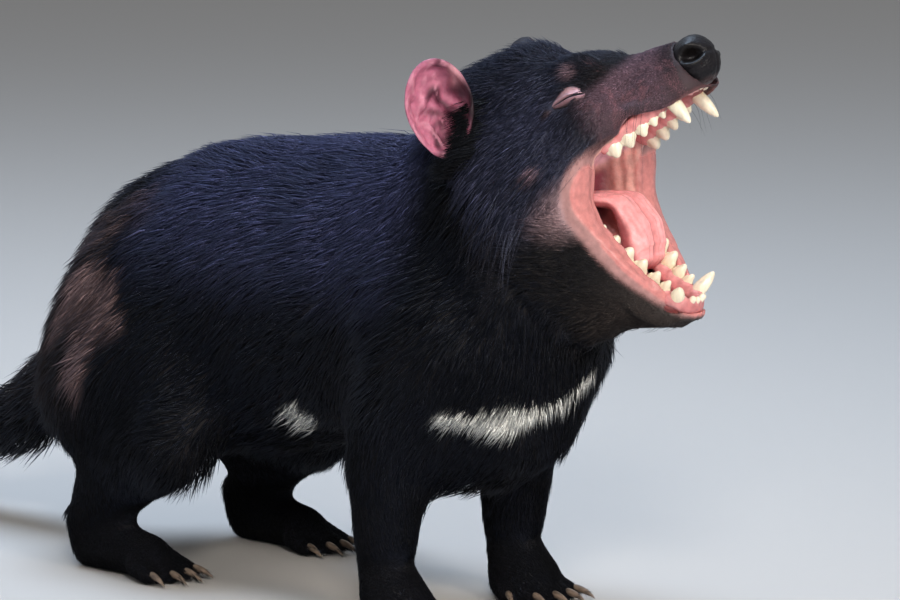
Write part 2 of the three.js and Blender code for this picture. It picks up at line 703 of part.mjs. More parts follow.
// A round cup that stands on the head: a turned bowl, wider than deep, that narrows to its root.
function ear(side, grow) {
  const profile = [];
  const bowl = (t, radius, deep) => new THREE.Vector2(radius * Math.sin(t), -deep * Math.cos(t));
  const steps = 4;
  for (let i = 0; i <= steps; i += 1) profile.push(bowl(i / steps * Math.PI / 2, 1, 1));
  const inner = [1 - (EAR.wall + grow) / EAR.half[0], 1 - EAR.wall / EAR.deep];
  for (let i = steps; i >= 0; i -= 1) profile.push(bowl(i / steps * Math.PI / 2, ...inner));
  const cup = new THREE.LatheGeometry(profile, 16);
  cup.rotateX(Math.PI / 2);
  const position = cup.getAttribute('position');
  for (let i = 0; i < position.count; i += 1) {
    const tall = position.getY(i);
    const narrow = 1 - EAR.taper * Math.max(0, -tall);
    position.setX(i, position.getX(i) * (EAR.half[0] + grow) * narrow);
    position.setY(i, tall * (EAR.half[1] + grow));
    position.setZ(i, position.getZ(i) * (EAR.deep + grow) + EAR.deep / 2);
  }
  return placed(cup, facing(HEAD_FRAME, sideways(side, EAR.at), sideways(side, EAR.out), EAR.up));
}

// A claw on each toe, ahead and down from the toe's tip.
function claws(places) {
  return places.map(({ base, tip }) => {
    const out = [tip[0] - base[0], tip[1] - base[1], -1.5];
    const root = [tip[0], tip[1], tip[2] + 1.5];
    const size = { long: CLAW_LENGTH + TOE_RADIUS - 2, wide: CLAW_RADIUS };
    return spike(facing(BODY_FRAME, root, out), { ...size, around: 5, rings: 2 });
  });
}

// A flat tapered lock that follows the skin from its root, sunk in at first and lifted at its tip.
// It clings to the skin only so far at each ring, so it hangs over where the body turns away.
function lock(form, root, lie, long, wide) {
  const stops = [];
  let point = root;
  for (let i = 0; i <= LOCK.rings; i += 1) {
    const normal = new THREE.Vector3(...slopeOf(form, point)).normalize();
    const along = new THREE.Vector3(...lie).projectOnPlane(normal).normalize();
    const height = (LOCK.root + LOCK.lift) * Math.sqrt(i / LOCK.rings) - LOCK.root;
    const at = new THREE.Vector3(...point).addScaledVector(normal, height);
    stops.push(new THREE.Matrix4().makeBasis(normal.clone().cross(along), normal, along).setPosition(at));
    const next = new THREE.Vector3(...point).addScaledVector(along, long / LOCK.rings);
    const away = Math.max(-LOCK.cling, Math.min(LOCK.cling, form(next.x, next.y, next.z)));
    point = next.addScaledVector(normal, -away).toArray();
  }
  const geometry = new THREE.ConeGeometry(1, 1, 4, LOCK.rings).rotateX(Math.PI / 2).translate(0, 0, 0.5);
  const position = geometry.getAttribute('position');
  const corner = new THREE.Vector3();
  for (let i = 0; i < position.count; i += 1) {
    const t = position.getZ(i);
    const full = t > 0.999 ? 0 : Math.sqrt(1 - t * t) / (1 - t);
    corner.set(position.getX(i) * full * wide / 2, position.getY(i) * full * LOCK.thick / 2, 0);
    corner.applyMatrix4(stops[Math.round(t * LOCK.rings)]);
    position.setXYZ(i, corner.x, corner.y, corner.z);
  }
  const placeOf = (stop) => new THREE.Vector3().setFromMatrixPosition(stop);
  return { geometry, ends: [placeOf(stops[0]), placeOf(stops[LOCK.rings])] };
}

// Where a straight line from outside first meets a form.
function met(form, start, inward) {
  const point = new THREE.Vector3(...start);
  const step = new THREE.Vector3(...inward).normalize();
  for (let round = 0; round < 40; round += 1) {
    point.addScaledVector(step, form(point.x, point.y, point.z) * 0.8);
  }
  return point.toArray();
}

// How far a point lies inside of a wedge, or less than zero outside of it.
const depthIn = (cuts, point) => Math.min(...cuts.map((plane) => plane.distanceToPoint(point)));

// Whether a lock stays inside one body part: its ends lie clear of each cut and on the same side.
function uncut(ends) {
  const places = [[NECK_CUT], [BASE_CUT], [TAIL_CUT], [TAIL_MIDDLE], [WRIST_CUT], [HOCK_CUT], ...legWedges];
  return places.every((cuts) => {
    const [root, tip] = ends.map((end) => depthIn(cuts, end));
    return root * tip > 0 && Math.min(Math.abs(root), Math.abs(tip)) > LOCK.clear;
  });
}

// All the locks of the coat. Each differs a little in place, length, width and lie.
function coat(form) {
  let seed = 5;
  const random = (low, high) => {
    seed = seed * 16807 % 2147483647;
    return low + (high - low) * seed / 2147483647;
  };
  const locks = LOCK_ROWS.flatMap(({ on, from, to, lie, count, long }) => mirrored((side) => {
    const row = [];
    for (let i = 0; i < count; i += 1) {
      const t = (i + random(0.3, 0.7)) / count;
      const start = from.map((value, axis) => value + (to[axis] - value) * t);
      const root = met(form, sideways(side, start), sideways(side, INWARD[on]));
      const turned = sideways(side, lie.map((value, axis) => value + random(-SWAY[axis], SWAY[axis])));
      const size = [long * random(0.85, 1.1), LOCK.wide * random(0.8, 1.15)];
      row.push(lock(form, root, turned, ...size));
    }
    return row;
  }).flat());
  return locks.filter(({ ends }) => uncut(ends)).map(({ geometry }) => solidOf(geometry));
}

const group = new THREE.Group();
group.position.set(-MIDDLE[0], -MIDDLE[1], -MIDDLE[2]);

function add(name, solid, colour, roughness = 0.8) {
  const geometry = geometryOf(largest(solid));
  const mesh = new THREE.Mesh(geometry, new THREE.MeshStandardMaterial({ color: colour, roughness }));
  mesh.name = name;
  group.add(mesh);
}

const whole = joined([bodyForm(), headForm()], NECK_BLEND);
const mouth = notch();
const lipForm = lips();
const lipped = (x, y, z) => softMin(Math.max(whole(x, y, z), -mouth(x, y, z)), lipForm(x, y, z), LIP_BLEND);
const skin = hollowed(lipped, cavity(), LIP_BLEND);

const FLOOR = cut(BODY_FRAME, [0, 0, -GAP / 2], [0, 0, 1]);
const NECK_CUT = cut(HEAD_FRAME, [12, 0, -78], [0.838, 0, 0.545]);
const JAW_CUT = cut(HEAD_FRAME, [24, 0, -1], [0, 0, 1]);
const BASE_CUT = cut(BODY_FRAME, [190, 0, 130], [0.783, 0, 0.622]);
const TAIL_CUT = cut(BODY_FRAME, [-172, 0, 108], [-0.8, 0, -0.6]);
const TAIL_MIDDLE = cut(BODY_FRAME, [-262, 0, 54], [-0.9, 0, -0.43]);
const WRIST_CUT = cut(BODY_FRAME, [0, 0, 31], [0, 0, 1]);
const HOCK_CUT = cut(BODY_FRAME, [0, 0, 38], [0, 0, 1]);

// The wedge of the body that each leg fills lies ahead of three cuts.
const foreCuts = (side) => [
  cut(BODY_FRAME, [0, 36 * side, 100], [0, 0.9 * side, -0.436]),
  cut(BODY_FRAME, [182, 0, 120], [-0.94, 0, -0.34]),
  cut(BODY_FRAME, [66, 0, 0], [1, 0, 0]),
];
const hindCuts = (side) => [
  cut(BODY_FRAME, [0, 32 * side, 98], [0, 0.9 * side, -0.436]),
  cut(BODY_FRAME, [-22, 0, 115], [-0.94, 0, -0.34]),
  cut(BODY_FRAME, [-172, 0, 0], [1, 0, 0]),
];
const wedge = (cuts) => common(cuts.map(ahead));
const wedgeRoom = (cuts) => wedge(cuts.map((plane) => new THREE.Plane(plane.normal, plane.constant + GAP)));
const legWedges = mirrored(foreCuts).concat(mirrored(hindCuts));

const headSkin = await shaped(skin, HEAD_GRID);
const bodySkin = common([fused([await shaped(whole, BODY_GRID), ...coat(whole)]), ahead(FLOOR)]);

const noseRoom = ball(SKULL_FRAME, NOSE.at, NOSE.half.map((value) => value + GAP), 12, 8);
const nostrils = mirrored((side) => ball(
  facing(SKULL_FRAME, sideways(side, NOSTRIL.at), sideways(side, NOSTRIL.out)),
  [0, 0, 0], [NOSTRIL.half[2], NOSTRIL.half[1], NOSTRIL.half[0]], 8, 6,
));
const ears = mirrored((side) => ear(side, 0));
const earRooms = mirrored((side) => ear(side, GAP));
const upperRow = toothRow(SKULL_FRAME, UPPER_TEETH, -1);
const upperRowRoom = toothRow(SKULL_FRAME, UPPER_TEETH, -1, GAP);
const nose = without(ball(SKULL_FRAME, NOSE.at, NOSE.half, 12, 8), [...nostrils, upperRowRoom]);
const lowerRow = toothRow(JAW_FRAME, LOWER_TEETH, 1);
const eyeFrames = mirrored((side) => sunk(
  facing(SKULL_FRAME, sideways(side, EYE.at), sideways(side, EYE.out), [0, 0, 1]), EYE.radius - EYE.lid,
));
const round = (value) => [value, value, value];
const lids = eyeFrames.map((frame) => ball(frame, [0, 0, 0], round(EYE.radius + EYE.lid), 12, 8));
const slitHalf = [EYE.slit[0] / 2, EYE.slit[1] / 2, EYE.slitDepth];
const slits = eyeFrames.map((frame) => ball(frame, [0, 0, EYE.radius], slitHalf, 10, 6));
const sockets = eyeFrames.map((frame) => ball(frame, [0, 0, 0], round(EYE.radius + GAP), 10, 6));
const tongueSolid = await shaped(tongue(), TONGUE_GRID);
const tongueRoom = swollen(tongueSolid, GAP * 1.2);
const headSolid = without(fused([common([headSkin, ahead(NECK_CUT), ahead(JAW_CUT)]), ...lids]), [
  ...slits, ...sockets, noseRoom, ...nostrils, ...earRooms, tongueRoom, upperRowRoom,
]);
add('head', headSolid, SKIN_COLOUR);
add('lower_jaw', without(common([headSkin, ahead(NECK_CUT), behind(JAW_CUT)]), [
  toothRow(JAW_FRAME, LOWER_TEETH, 1, GAP), tongueRoom,
]), SKIN_COLOUR);
add('nose', nose, NOSE_COLOUR, 0.35);
add('upper_gum', upperRow.subtract(tongueRoom), GUM_COLOUR, 0.4);
add('lower_gum', lowerRow.subtract(tongueRoom), GUM_COLOUR, 0.4);
['left', 'right'].forEach((name, i) => {
  add(`ear_${name}`, ears[i], EAR_COLOUR);
  add(`eye_${name}`, ball(eyeFrames[i], [0, 0, 0], round(EYE.radius - 0.25), 10, 6), EYE_COLOUR, 0.1);
});
add('tongue', tongueSolid, TONGUE_COLOUR, 0.35);

add('neck', common([bodySkin, behind(NECK_CUT), ahead(BASE_CUT)]), SKIN_COLOUR);
const trunk = common([bodySkin, behind(BASE_CUT), behind(TAIL_CUT)]);
add('torso', without(trunk, legWedges.map(wedgeRoom)), SKIN_COLOUR);
add('tail_base', common([bodySkin, ahead(TAIL_CUT), behind(TAIL_MIDDLE)]), SKIN_COLOUR);
add('tail_tip', common([bodySkin, ahead(TAIL_MIDDLE)]), SKIN_COLOUR);

async function footSolid(leg, places, side, track, span) {
  const y = track * side;
  const grid = {
    ...FOOT_GRID,
    low: [span[0], y - FOOT_GRID.beside, FOOT_GRID.low],
    high: [span[1], y + FOOT_GRID.beside, FOOT_GRID.high],
  };
  return fused([await shaped(foot(leg(side), places(side)), grid), ...claws(places(side))]);
}

for (const [side, name] of [[1, 'left'], [-1, 'right']]) {
  const foreCut = [wedge(foreCuts(side)), ahead(WRIST_CUT), behind(BASE_CUT)];
  add(`foreleg_${name}`, common([bodySkin, ...foreCut]), SKIN_COLOUR);
  const hindCut = [wedge(hindCuts(side)), ahead(HOCK_CUT), behind(TAIL_CUT)];
  add(`hindleg_${name}`, common([bodySkin, ...hindCut]), SKIN_COLOUR);
  const paw = await footSolid(foreleg, foreToes, side, FORE_TRACK, FORE_SPAN);
  add(`forepaw_${name}`, common([paw, behind(WRIST_CUT), ahead(FLOOR)]), SKIN_COLOUR);
  const sole = await footSolid(hindleg, hindToes, side, HIND_TRACK, HIND_SPAN);
  add(`hindfoot_${name}`, common([sole, behind(HOCK_CUT), ahead(FLOOR)]), SKIN_COLOUR);
}

export default group;
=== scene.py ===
"""A life-size tasmanian devil that stands with its head raised and its mouth wide open.

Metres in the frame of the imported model: +X is the way the body faces, +Y its left side, +Z up.
Sizes that belong to the animal are in millimetres, in frames that hang on its jaw hinge.
"""

import math

import bpy
import numpy as np
from mathutils import Matrix, Vector
from mathutils.bvhtree import BVHTree
from mathutils.kdtree import KDTree


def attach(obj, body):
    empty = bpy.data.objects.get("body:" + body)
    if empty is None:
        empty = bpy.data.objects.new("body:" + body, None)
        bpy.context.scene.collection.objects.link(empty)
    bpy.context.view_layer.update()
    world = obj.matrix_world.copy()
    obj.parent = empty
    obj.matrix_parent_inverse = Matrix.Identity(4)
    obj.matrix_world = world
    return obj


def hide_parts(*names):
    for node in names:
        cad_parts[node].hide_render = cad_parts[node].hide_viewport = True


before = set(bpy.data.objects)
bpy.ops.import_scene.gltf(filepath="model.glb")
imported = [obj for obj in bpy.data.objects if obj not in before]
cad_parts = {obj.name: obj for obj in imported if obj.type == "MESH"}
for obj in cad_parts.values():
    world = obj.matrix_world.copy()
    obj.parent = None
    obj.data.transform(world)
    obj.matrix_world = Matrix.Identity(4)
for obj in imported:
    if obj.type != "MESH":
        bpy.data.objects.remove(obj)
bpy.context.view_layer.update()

MM = 0.001
rng = np.random.default_rng(11)

# The frames of the head turn about the jaw's hinge, as in the solids: level, along the palate and
# along the lower tooth row. Angles are in degrees.
HINGE = (0.245, 0.008, 0.236)
HEAD_TURN, SKULL_RISE, JAW_DROP = 17, 33, 41.6
BODY = Matrix.Identity(4)
HEAD = Matrix.Translation(HINGE) @ Matrix.Rotation(math.radians(HEAD_TURN), 4, "Z")
SKULL = HEAD @ Matrix.Rotation(math.radians(-SKULL_RISE), 4, "Y")
JAW = HEAD @ Matrix.Rotation(math.radians(JAW_DROP), 4, "Y")
# The cut between head and neck: a place on it, and the way it faces.
NECK_PLANE = (Vector((0.2565, 0.0115, 0.158)), Vector((0.80, 0.245, 0.545)).normalized())

# The nodes of flesh. Those of the trunk are smoothed as one before head, jaw and feet join them.
TRUNK = ["neck", "torso", "tail_base", "tail_tip"] + [
    f"{leg}_{side}" for leg in ("foreleg", "hindleg") for side in ("left", "right")
]
FLESH = ["head", "lower_jaw", *TRUNK] + [
    f"{foot}_{side}" for foot in ("forepaw", "hindfoot") for side in ("left", "right")
]
TRUNK_VOXEL, SKIN_VOXEL, SKIN_TRIANGLES = 0.004, 0.00115, 190000

# The middle line of the lips, the same on both sides, in the head's frame: from the middle of the
# upper lip past the corner of the mouth to the middle of the lower one.
LIP_EDGE = [
    (80, 0, 61), (77, 8, 60), (71.8, 16, 58), (57.6, 23, 47), (43, 30, 37), (31.8, 35, 26.5),
    (25, 38, 16), (21.7, 39, 3), (24, 37, -12.5), (27, 31, -25), (34.6, 27, -38), (46.5, 22.5, -47.5),
    (57, 18, -56), (65, 14, -60), (72.5, 7, -62), (75, 0, -62),
]
# The mouth's cavity: the level of its roof in the skull's frame and of its floor in the jaw's, with
# how far forward of ARCH_START each reaches and half its width. MOUTH_BACK is where the cavity
# ends behind, and PITS are two places in its floor painted dark red as the shade of small hollows,
# which the shape does not have; both in the head's frame.
PALATE = {"level": 9, "long": 72, "wide": 28}
MOUTH_FLOOR = {"level": -8, "long": 71, "wide": 27}
ARCH_START, MOUTH_BACK = 20, 4
PITS = ((57, 0.5, -43), (58, -13, -44.5))
# The notch between the lips, seen from the side: all that lies between two slopes from one place
# or within a radius of them. Slopes are in degrees.
GAPE = {"apex": (48, 1), "round": 24.5, "up": 38, "down": -43}

# The eyes, nearly shut: the middle of the slit on the right side of the skull, which way it faces,
# which way the slit runs, the radius of the eyeball, that of the ball of skin that fills the socket
# under it, and the slit's dark inner corner.
EYE = {
    "at": (43.2, -42.2, 32.6), "out": (0.27, -0.89, 0.37), "ahead": (0.965, 0.24, -0.10),
    "radius": 6.0, "fill": 8.5, "corner": (30.7, -45.7, 32),
}
# Small swellings where the longest hairs of the face stand, on the right side of the skull: place,
# radius and height.
WARTS = (((46.9, -33.7, 45.9), 5.6, 1.6), ((10.8, -56.9, 7.6), 5.0, 1.2))

# Colours of coat and skin, linear, with painted sheen and shade among them.
BLACK = (0.0020, 0.0020, 0.0028)
# A painted bluish sheen of sky light on the top of the back, laid over the black hair.
PAINTED_BACK_SHEEN = (0.038, 0.041, 0.090)
BROWN_BLACK = (0.021, 0.0150, 0.0140)
FACE_BLACK = (0.010, 0.0085, 0.0080)
CROWN_BLACK = (0.013, 0.0135, 0.024)
CHEEK_BLUE = (0.027, 0.028, 0.050)
CHIN_BROWN = (0.034, 0.026, 0.023)
SKIN_BLACK = (0.010, 0.008, 0.009)
BROWN = (0.25, 0.160, 0.155)
WHITE = (0.83, 0.82, 0.77)
MUZZLE = (0.062, 0.032, 0.041)
MUZZLE_PINK = (0.22, 0.10, 0.115)
MUZZLE_HAIR = (0.140, 0.083, 0.105)
WART_PINK = (0.19, 0.115, 0.13)
EYE_DARK = (0.030, 0.017, 0.016)
CHEEK_SKIN = (0.40, 0.26, 0.27)
NOSE_BLACK = (0.0065, 0.0055, 0.007)
NOSE_UNDER = (0.05, 0.028, 0.027)
# Painted shade inside the nostrils, darker than the nose's own black.
NOSTRIL_SHADE = (0.004, 0.003, 0.003)
EAR_BACK = (0.012, 0.008, 0.011)
EAR_PINK = (0.45, 0.140, 0.215)
EAR_PALE = (0.62, 0.26, 0.34)
EAR_LIT = (0.66, 0.30, 0.34)
EAR_RIM = (0.30, 0.11, 0.16)
EAR_DARK = (0.075, 0.017, 0.032)
# Painted shade in the ear's hollow and along its crease.
EAR_CREASE_SHADE = (0.055, 0.011, 0.022)
EAR_SHADE = (0.02, 0.010, 0.014)
HORN = (0.16, 0.115, 0.085)
DARK_HAIR = (0.012, 0.010, 0.012)
GREY_HAIR = (0.075, 0.078, 0.112)
PALE_HAIR = (0.12, 0.095, 0.088)

# Colours of lips and mouth, linear, with painted shade among them.
LIP_PALE = (0.38, 0.200, 0.190)
LIP_WET = (0.57, 0.220, 0.205)
LIP_DARK = (0.045, 0.026, 0.030)
PALATE_PINK = (0.80, 0.44, 0.46)
PALATE_BACK = (0.75, 0.45, 0.52)
CHEEK_RED = (0.80, 0.44, 0.38)
MOUTH_PINK = (0.86, 0.38, 0.36)
# Painted shade deep in the mouth, towards the throat.
THROAT_SHADE = (0.20, 0.045, 0.06)
# Painted shade, dark red, of two small hollows in the mouth's floor.
PIT_SHADE_RED = (0.30, 0.04, 0.04)
GUM = (0.62, 0.22, 0.22)
GUM_PALE = (0.82, 0.42, 0.40)
GUM_DARK = (0.20, 0.06, 0.06)
TONGUE = (0.86, 0.36, 0.36)
TONGUE_GROOVE = (0.62, 0.20, 0.20)
TONGUE_UNDER = (0.45, 0.12, 0.13)
IVORY = (0.86, 0.77, 0.60)
TOOTH_ROOT = (0.70, 0.52, 0.30)


# Small helpers: objects.


def deselect():
    if bpy.context.object and bpy.context.object.mode != "OBJECT":
        bpy.ops.object.mode_set(mode="OBJECT")
    bpy.ops.object.select_all(action="DESELECT")


def pick(*objects):
    deselect()
    for obj in objects:
        obj.select_set(True)
    bpy.context.view_layer.objects.active = objects[0]


def new_object(name, data):
    obj = bpy.data.objects.new(name, data)
    bpy.context.scene.collection.objects.link(obj)
    return obj


def modifier(obj, kind, **settings):
    pick(obj)
    bpy.ops.object.modifier_add(type=kind)
    made = obj.modifiers[-1]
    for name, value in settings.items():
        setattr(made, name, value)
    bpy.ops.object.modifier_apply(modifier=made.name)


def remeshed(obj, voxel):
    modifier(obj, "REMESH", mode="VOXEL", voxel_size=voxel)
    return obj


def subdivided(obj, levels=1):
    modifier(obj, "SUBSURF", levels=levels, render_levels=levels)
    return obj


def edited(obj, operator, **settings):
    """An operator of edit mode run on the whole of a mesh."""
    pick(obj)
    bpy.ops.object.mode_set(mode="EDIT")
    bpy.ops.mesh.select_all(action="SELECT")
    operator(**settings)
    bpy.ops.object.mode_set(mode="OBJECT")


def shaded_smooth(obj):
    pick(obj)
    bpy.ops.object.shade_smooth()
    return obj


def joined(name, objects):
    pick(*objects)
    if len(objects) > 1:
        bpy.ops.object.join()
    objects[0].name = objects[0].data.name = name
    return objects[0]


def copy_of(node, name="copy"):
    """A merged copy of a CAD node's mesh, as a plain object."""
    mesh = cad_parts[node].data.copy()
    mesh.materials.clear()
    obj = new_object(name, mesh)
    mesh.name = name
    pick(obj)
    bpy.ops.mesh.customdata_custom_splitnormals_clear()
    edited(obj, bpy.ops.mesh.remove_doubles, threshold=0.00001)
    return obj


def kept(obj, slot, material, *nodes):
    """A finished piece: its material, the body it rides on and the CAD nodes it stands for."""
    obj.data.materials.clear()
    obj.data.materials.append(material)
    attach(obj, "root")
    if nodes:
        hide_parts(*nodes)
    return obj


# Small helpers: points, one row for each.


def read(members, name, width, kind=np.float32):
    """A property of all members of a mesh's collection, one row for each."""
    values = np.empty(len(members) * width, kind)
    members.foreach_get(name, values)
    return values.reshape(-1, width)


def points_of(obj):
    return read(obj.data.vertices, "co", 3).astype(float)


def normals_of(obj):
    return read(obj.data.vertex_normals, "vector", 3).astype(float)


def edges_of(obj):
    return read(obj.data.edges, "vertices", 2, np.int32)


def corners_of(obj):
    """The corners of each face of a mesh of triangles."""
    return read(obj.data.polygons, "vertices", 3, np.int32)


def set_points(obj, points):
    obj.data.vertices.foreach_set("co", points.astype(np.float32).ravel())
    obj.data.update()


def surface_of(obj):
    """The surface of a mesh of triangles, to find the place on it nearest to a point."""
    corners = [tuple(c) for c in corners_of(obj)]
    return BVHTree.FromPolygons([tuple(p) for p in points_of(obj)], corners)


def nearest_of(places):
    """A lookup that finds which of these places is nearest to a point."""
    tree = KDTree(len(places))
    for i, place in enumerate(places):
        tree.insert(place, i)
    tree.balance()
    return tree


def smoothed(points, edges, rounds, weight=1.0):
    """Points moved towards the middle of their neighbours, half way where their weight is one."""
    count = np.maximum(np.bincount(edges.ravel(), minlength=len(points)), 1)[:, None]
    pull = 0.5 * np.broadcast_to(weight, len(points))[:, None]
    for _ in range(rounds):
        total = np.stack([
            np.bincount(edges[:, 0], points[edges[:, 1], axis], len(points))
            + np.bincount(edges[:, 1], points[edges[:, 0], axis], len(points))
            for axis in range(3)
        ], axis=1)
        points = points + (total / count - points) * pull
    return points


def moved(points, direction, far):
    """Points moved along one direction or each along its own, by so many millimetres each."""
    return points + direction * (far * MM)[:, None]


def local(matrix, points):
    """Points in one of the head's frames, in millimetres."""
    inverse = np.array(matrix.inverted())
    return (points @ inverse[:3, :3].T + inverse[:3, 3]) / MM


def placed(matrix, place):
    return matrix @ (Vector(place) * MM)


def turned(matrix, *direction):
    """A direction of a frame in the model's frame."""
    return np.array(matrix.to_3x3()) @ direction


def mirrored(place, side):
    """A place or direction, or its mirror image where the side is minus one."""
    return Vector((place[0], place[1] * side, place[2]))


def folded(points, side):
    """Points with one half of the animal laid over the other, the left over the right at -1."""
    return np.stack([points[:, 0], side * np.abs(points[:, 1]), points[:, 2]], axis=1)


def apart(points, place, shape=1.0):
    """How far points lie from a place, divided by the half sizes of a shape."""
    return np.linalg.norm((points - place) / shape, axis=1)


def beside(points, a, b, squeeze=1.0):
    """Where points lie along the line from a to b, from zero to one, and how far off it."""
    a, along = np.array(a, float), np.array(b, float) - a
    t = np.clip(((points - a) @ along) / (along @ along), 0, 1)
    return t, np.linalg.norm((points - a - t[:, None] * along) * squeeze, axis=1)


def unit(vectors):
    return vectors / np.maximum(np.linalg.norm(vectors, axis=-1, keepdims=True), 1e-9)


def ramp(value, low, high):
    t = np.clip((value - low) / (high - low), 0, 1)
    return t * t * (3 - 2 * t)


def fade(value, low, high):
    return 1 - ramp(value, low, high)


def bell(value, middle, width):
    return np.exp(-(((value - middle) / width) ** 2))


def waves(points, size):
    """Two smooth random values between about minus one and one over space."""
    total = np.zeros((len(points), 2))
    draw = np.random.default_rng(3)
    for scale in (1.0, 1.7, 2.9):
        for _ in range(3):
            direction = unit(draw.normal(size=3)) * 2 * math.pi * scale / size
            phase = draw.random(2) * 2 * math.pi
            total += np.sin((points @ direction)[:, None] + phase) / scale
    return total / 3


def mixed(a, b, share):
    a = np.asarray(a, float)
    return a + (np.asarray(b) - a) * share[:, None]


def layered(tone, *layers):
    """A tone under layers of others, each a colour with its share at every point."""
    for colour, share in layers:
        tone = mixed(tone, colour, share)
    return tone


def paint(obj, tone, wet=None):
    """The marks on a piece's points that materials read: its colour, and how wet it is."""
    colours = np.ones((len(obj.data.vertices), 4), np.float32)
    colours[:, :3] = tone
    marks = obj.data.attributes.new("tone", "FLOAT_COLOR", "POINT")
    marks.data.foreach_set("color", colours.ravel())
    if wet is not None:
        wetness = np.ones(len(colours), np.float32)
        wetness[:] = wet
        obj.data.attributes.new("wet", "FLOAT", "POINT").data.foreach_set("value", wetness)
    return obj


# Camera, light and floor.


def set_camera():
    azimuth, elevation = math.radians(45), math.radians(8)
    target, distance = Vector((0.206, -0.043, 0.177)), 2.6
    back = Vector((
        math.sin(azimuth) * math.cos(elevation),
        -math.cos(azimuth) * math.cos(elevation),
        math.sin(elevation),
    ))
    camera = new_object("camera", bpy.data.cameras.new("camera"))
    camera.location = target + back * distance
    camera.rotation_euler = back.to_track_quat("Z", "Y").to_euler()
    camera.data.sensor_width = 36
    camera.data.lens = 197.6
    camera.data.clip_end = 50
    bpy.context.scene.camera = camera


def soft_light(name, place, target, size, power, colour, spread=180):
    light = bpy.data.lights.new(name, "AREA")
    light.shape = "DISK"
    light.size = size
    light.energy = power
    light.color = colour
    light.spread = math.radians(spread)
    lamp = new_object(name, light)
    lamp.location = place
    lamp.rotation_euler = (Vector(place) - Vector(target)).to_track_quat("Z", "Y").to_euler()


def set_studio():
    soft_light("sky", (-0.5, 0.1, 2.2), (0.1, 0, 0.18), 1.6, 60, (0.62, 0.78, 1.0))
    soft_light("key", (1.7, -1.5, 1.4), (0.26, 0, 0.22), 0.6, 2.7, (1.0, 0.96, 0.90), 50)
    soft_light("front", (2.0, -0.3, 0.8), (0.3, 0, 0.22), 0.6, 1.3, (1.0, 0.94, 0.88), 40)
    world = bpy.data.worlds.new("studio")
    world.use_nodes = True
    daylight = {"Color": (0.88, 0.91, 0.95, 1), "Strength": 0.36}
    set_inputs(world.node_tree.nodes["Background"], daylight)
    bpy.context.scene.world = world
    bpy.context.scene.view_settings.view_transform = "Standard"
    deselect()
    bpy.ops.mesh.primitive_plane_add(size=14, location=(0, 0, 0))
    floor = bpy.context.object
    floor.name = "floor"
    paper = {"Base Color": (0.50, 0.47, 0.44, 1), "Roughness": 0.9}
    floor.data.materials.append(new_material("floor_paper", paper)[0])


# Materials.


def set_inputs(node, settings):
    for socket, value in settings.items():
        node.inputs[socket].default_value = value


def new_material(name, settings):
    """A material and its shader."""
    material = bpy.data.materials.new(name)
    material.use_nodes = True
    shader = material.node_tree.nodes["Principled BSDF"]
    set_inputs(shader, settings)
    return material, shader


def add_node(material, kind, settings):
    node = material.node_tree.nodes.new(f"ShaderNode{kind}")
    set_inputs(node, settings)
    return node


def link(material, source, output, target, socket):
    material.node_tree.links.new(source.outputs[output], target.inputs[socket])


def mark_node(material, name):
    """A reader of one of the marks on a piece's points."""
    mark = add_node(material, "Attribute", {})
    mark.attribute_name = name
    return mark


def noise_node(material, scale, detail=4, stretch=(1, 1, 1)):
    """Noise over the piece's own place, in metres."""
    where = add_node(material, "TexCoord", {})
    mapping = add_node(material, "Mapping", {"Scale": stretch})
    noise = add_node(material, "TexNoise", {"Scale": scale, "Detail": detail})
    link(material, where, "Object", mapping, "Vector")
    link(material, mapping, "Vector", noise, "Vector")
    return noise


def toned(material, shader, noise, low, high):
    """The piece's own painted colour, made darker and lighter by a noise."""
    tone = mark_node(material, "tone")
    reach = {"From Min": 0.3, "From Max": 0.7, "To Min": low, "To Max": high}
    shade = add_node(material, "MapRange", reach)
    scaled = add_node(material, "VectorMath", {})
    scaled.operation = "SCALE"
    link(material, noise, "Fac", shade, "Value")
    link(material, tone, "Color", scaled, "Vector")
    link(material, shade, "Result", scaled, "Scale")
    link(material, scaled, "Vector", shader, "Base Color")


def roughened(material, shader, *layers):
    """Bumps over each other, each from a node's output, with its strength and depth in metres."""
    under = None
    for source, output, strength, depth in layers:
        bump = add_node(material, "Bump", {"Strength": strength, "Distance": depth})
        link(material, source, output, bump, "Height")
        if under:
            link(material, under, "Normal", bump, "Normal")
        under = bump
    link(material, under, "Normal", shader, "Normal")


def skin_material():
    """Skin: matt where it is dry and glossier where the piece's own mark says that it is wet."""
    material, shader = new_material("skin", {
        "Specular IOR Level": 0.24, "Subsurface Weight": 0.12,
        "Subsurface Radius": (1.0, 0.35, 0.25), "Subsurface Scale": 0.002,
    })
    toned(material, shader, noise_node(material, 260, 5), 0.84, 1.16)
    rough = add_node(material, "MapRange", {"To Min": 0.62, "To Max": 0.26})
    link(material, mark_node(material, "wet"), "Fac", rough, "Value")
    link(material, rough, "Result", shader, "Roughness")
    creases, pores = noise_node(material, 420, 4), noise_node(material, 1400, 3)
    roughened(material, shader, (creases, "Fac", 0.35, 0.0012), (pores, "Fac", 0.3, 0.0004))
    return material


def coat_material():
    """Coarse hair: dark and a little glossy, with a cool bloom where it turns away."""
    material, shader = new_material("coat", {
        "Roughness": 0.52, "Specular IOR Level": 0.11,
        "Sheen Weight": 0.05, "Sheen Roughness": 0.4, "Sheen Tint": (0.5, 0.6, 0.95, 1),
    })
    toned(material, shader, noise_node(material, 900, 2), 0.65, 1.4)
    return material


def tooth_material():
    """Enamel: its painted tones stained in faint streaks, and finely grooved."""
    material, shader = new_material("enamel", {
        "Roughness": 0.24, "Subsurface Weight": 0.15,
        "Subsurface Radius": (1.0, 0.8, 0.5), "Subsurface Scale": 0.0015,
    })
    streaks = noise_node(material, 420, 4, (1, 1, 0.35))
    toned(material, shader, streaks, 0.82, 1.06)
    roughened(material, shader, (streaks, "Fac", 0.15, 0.0003))
    return material


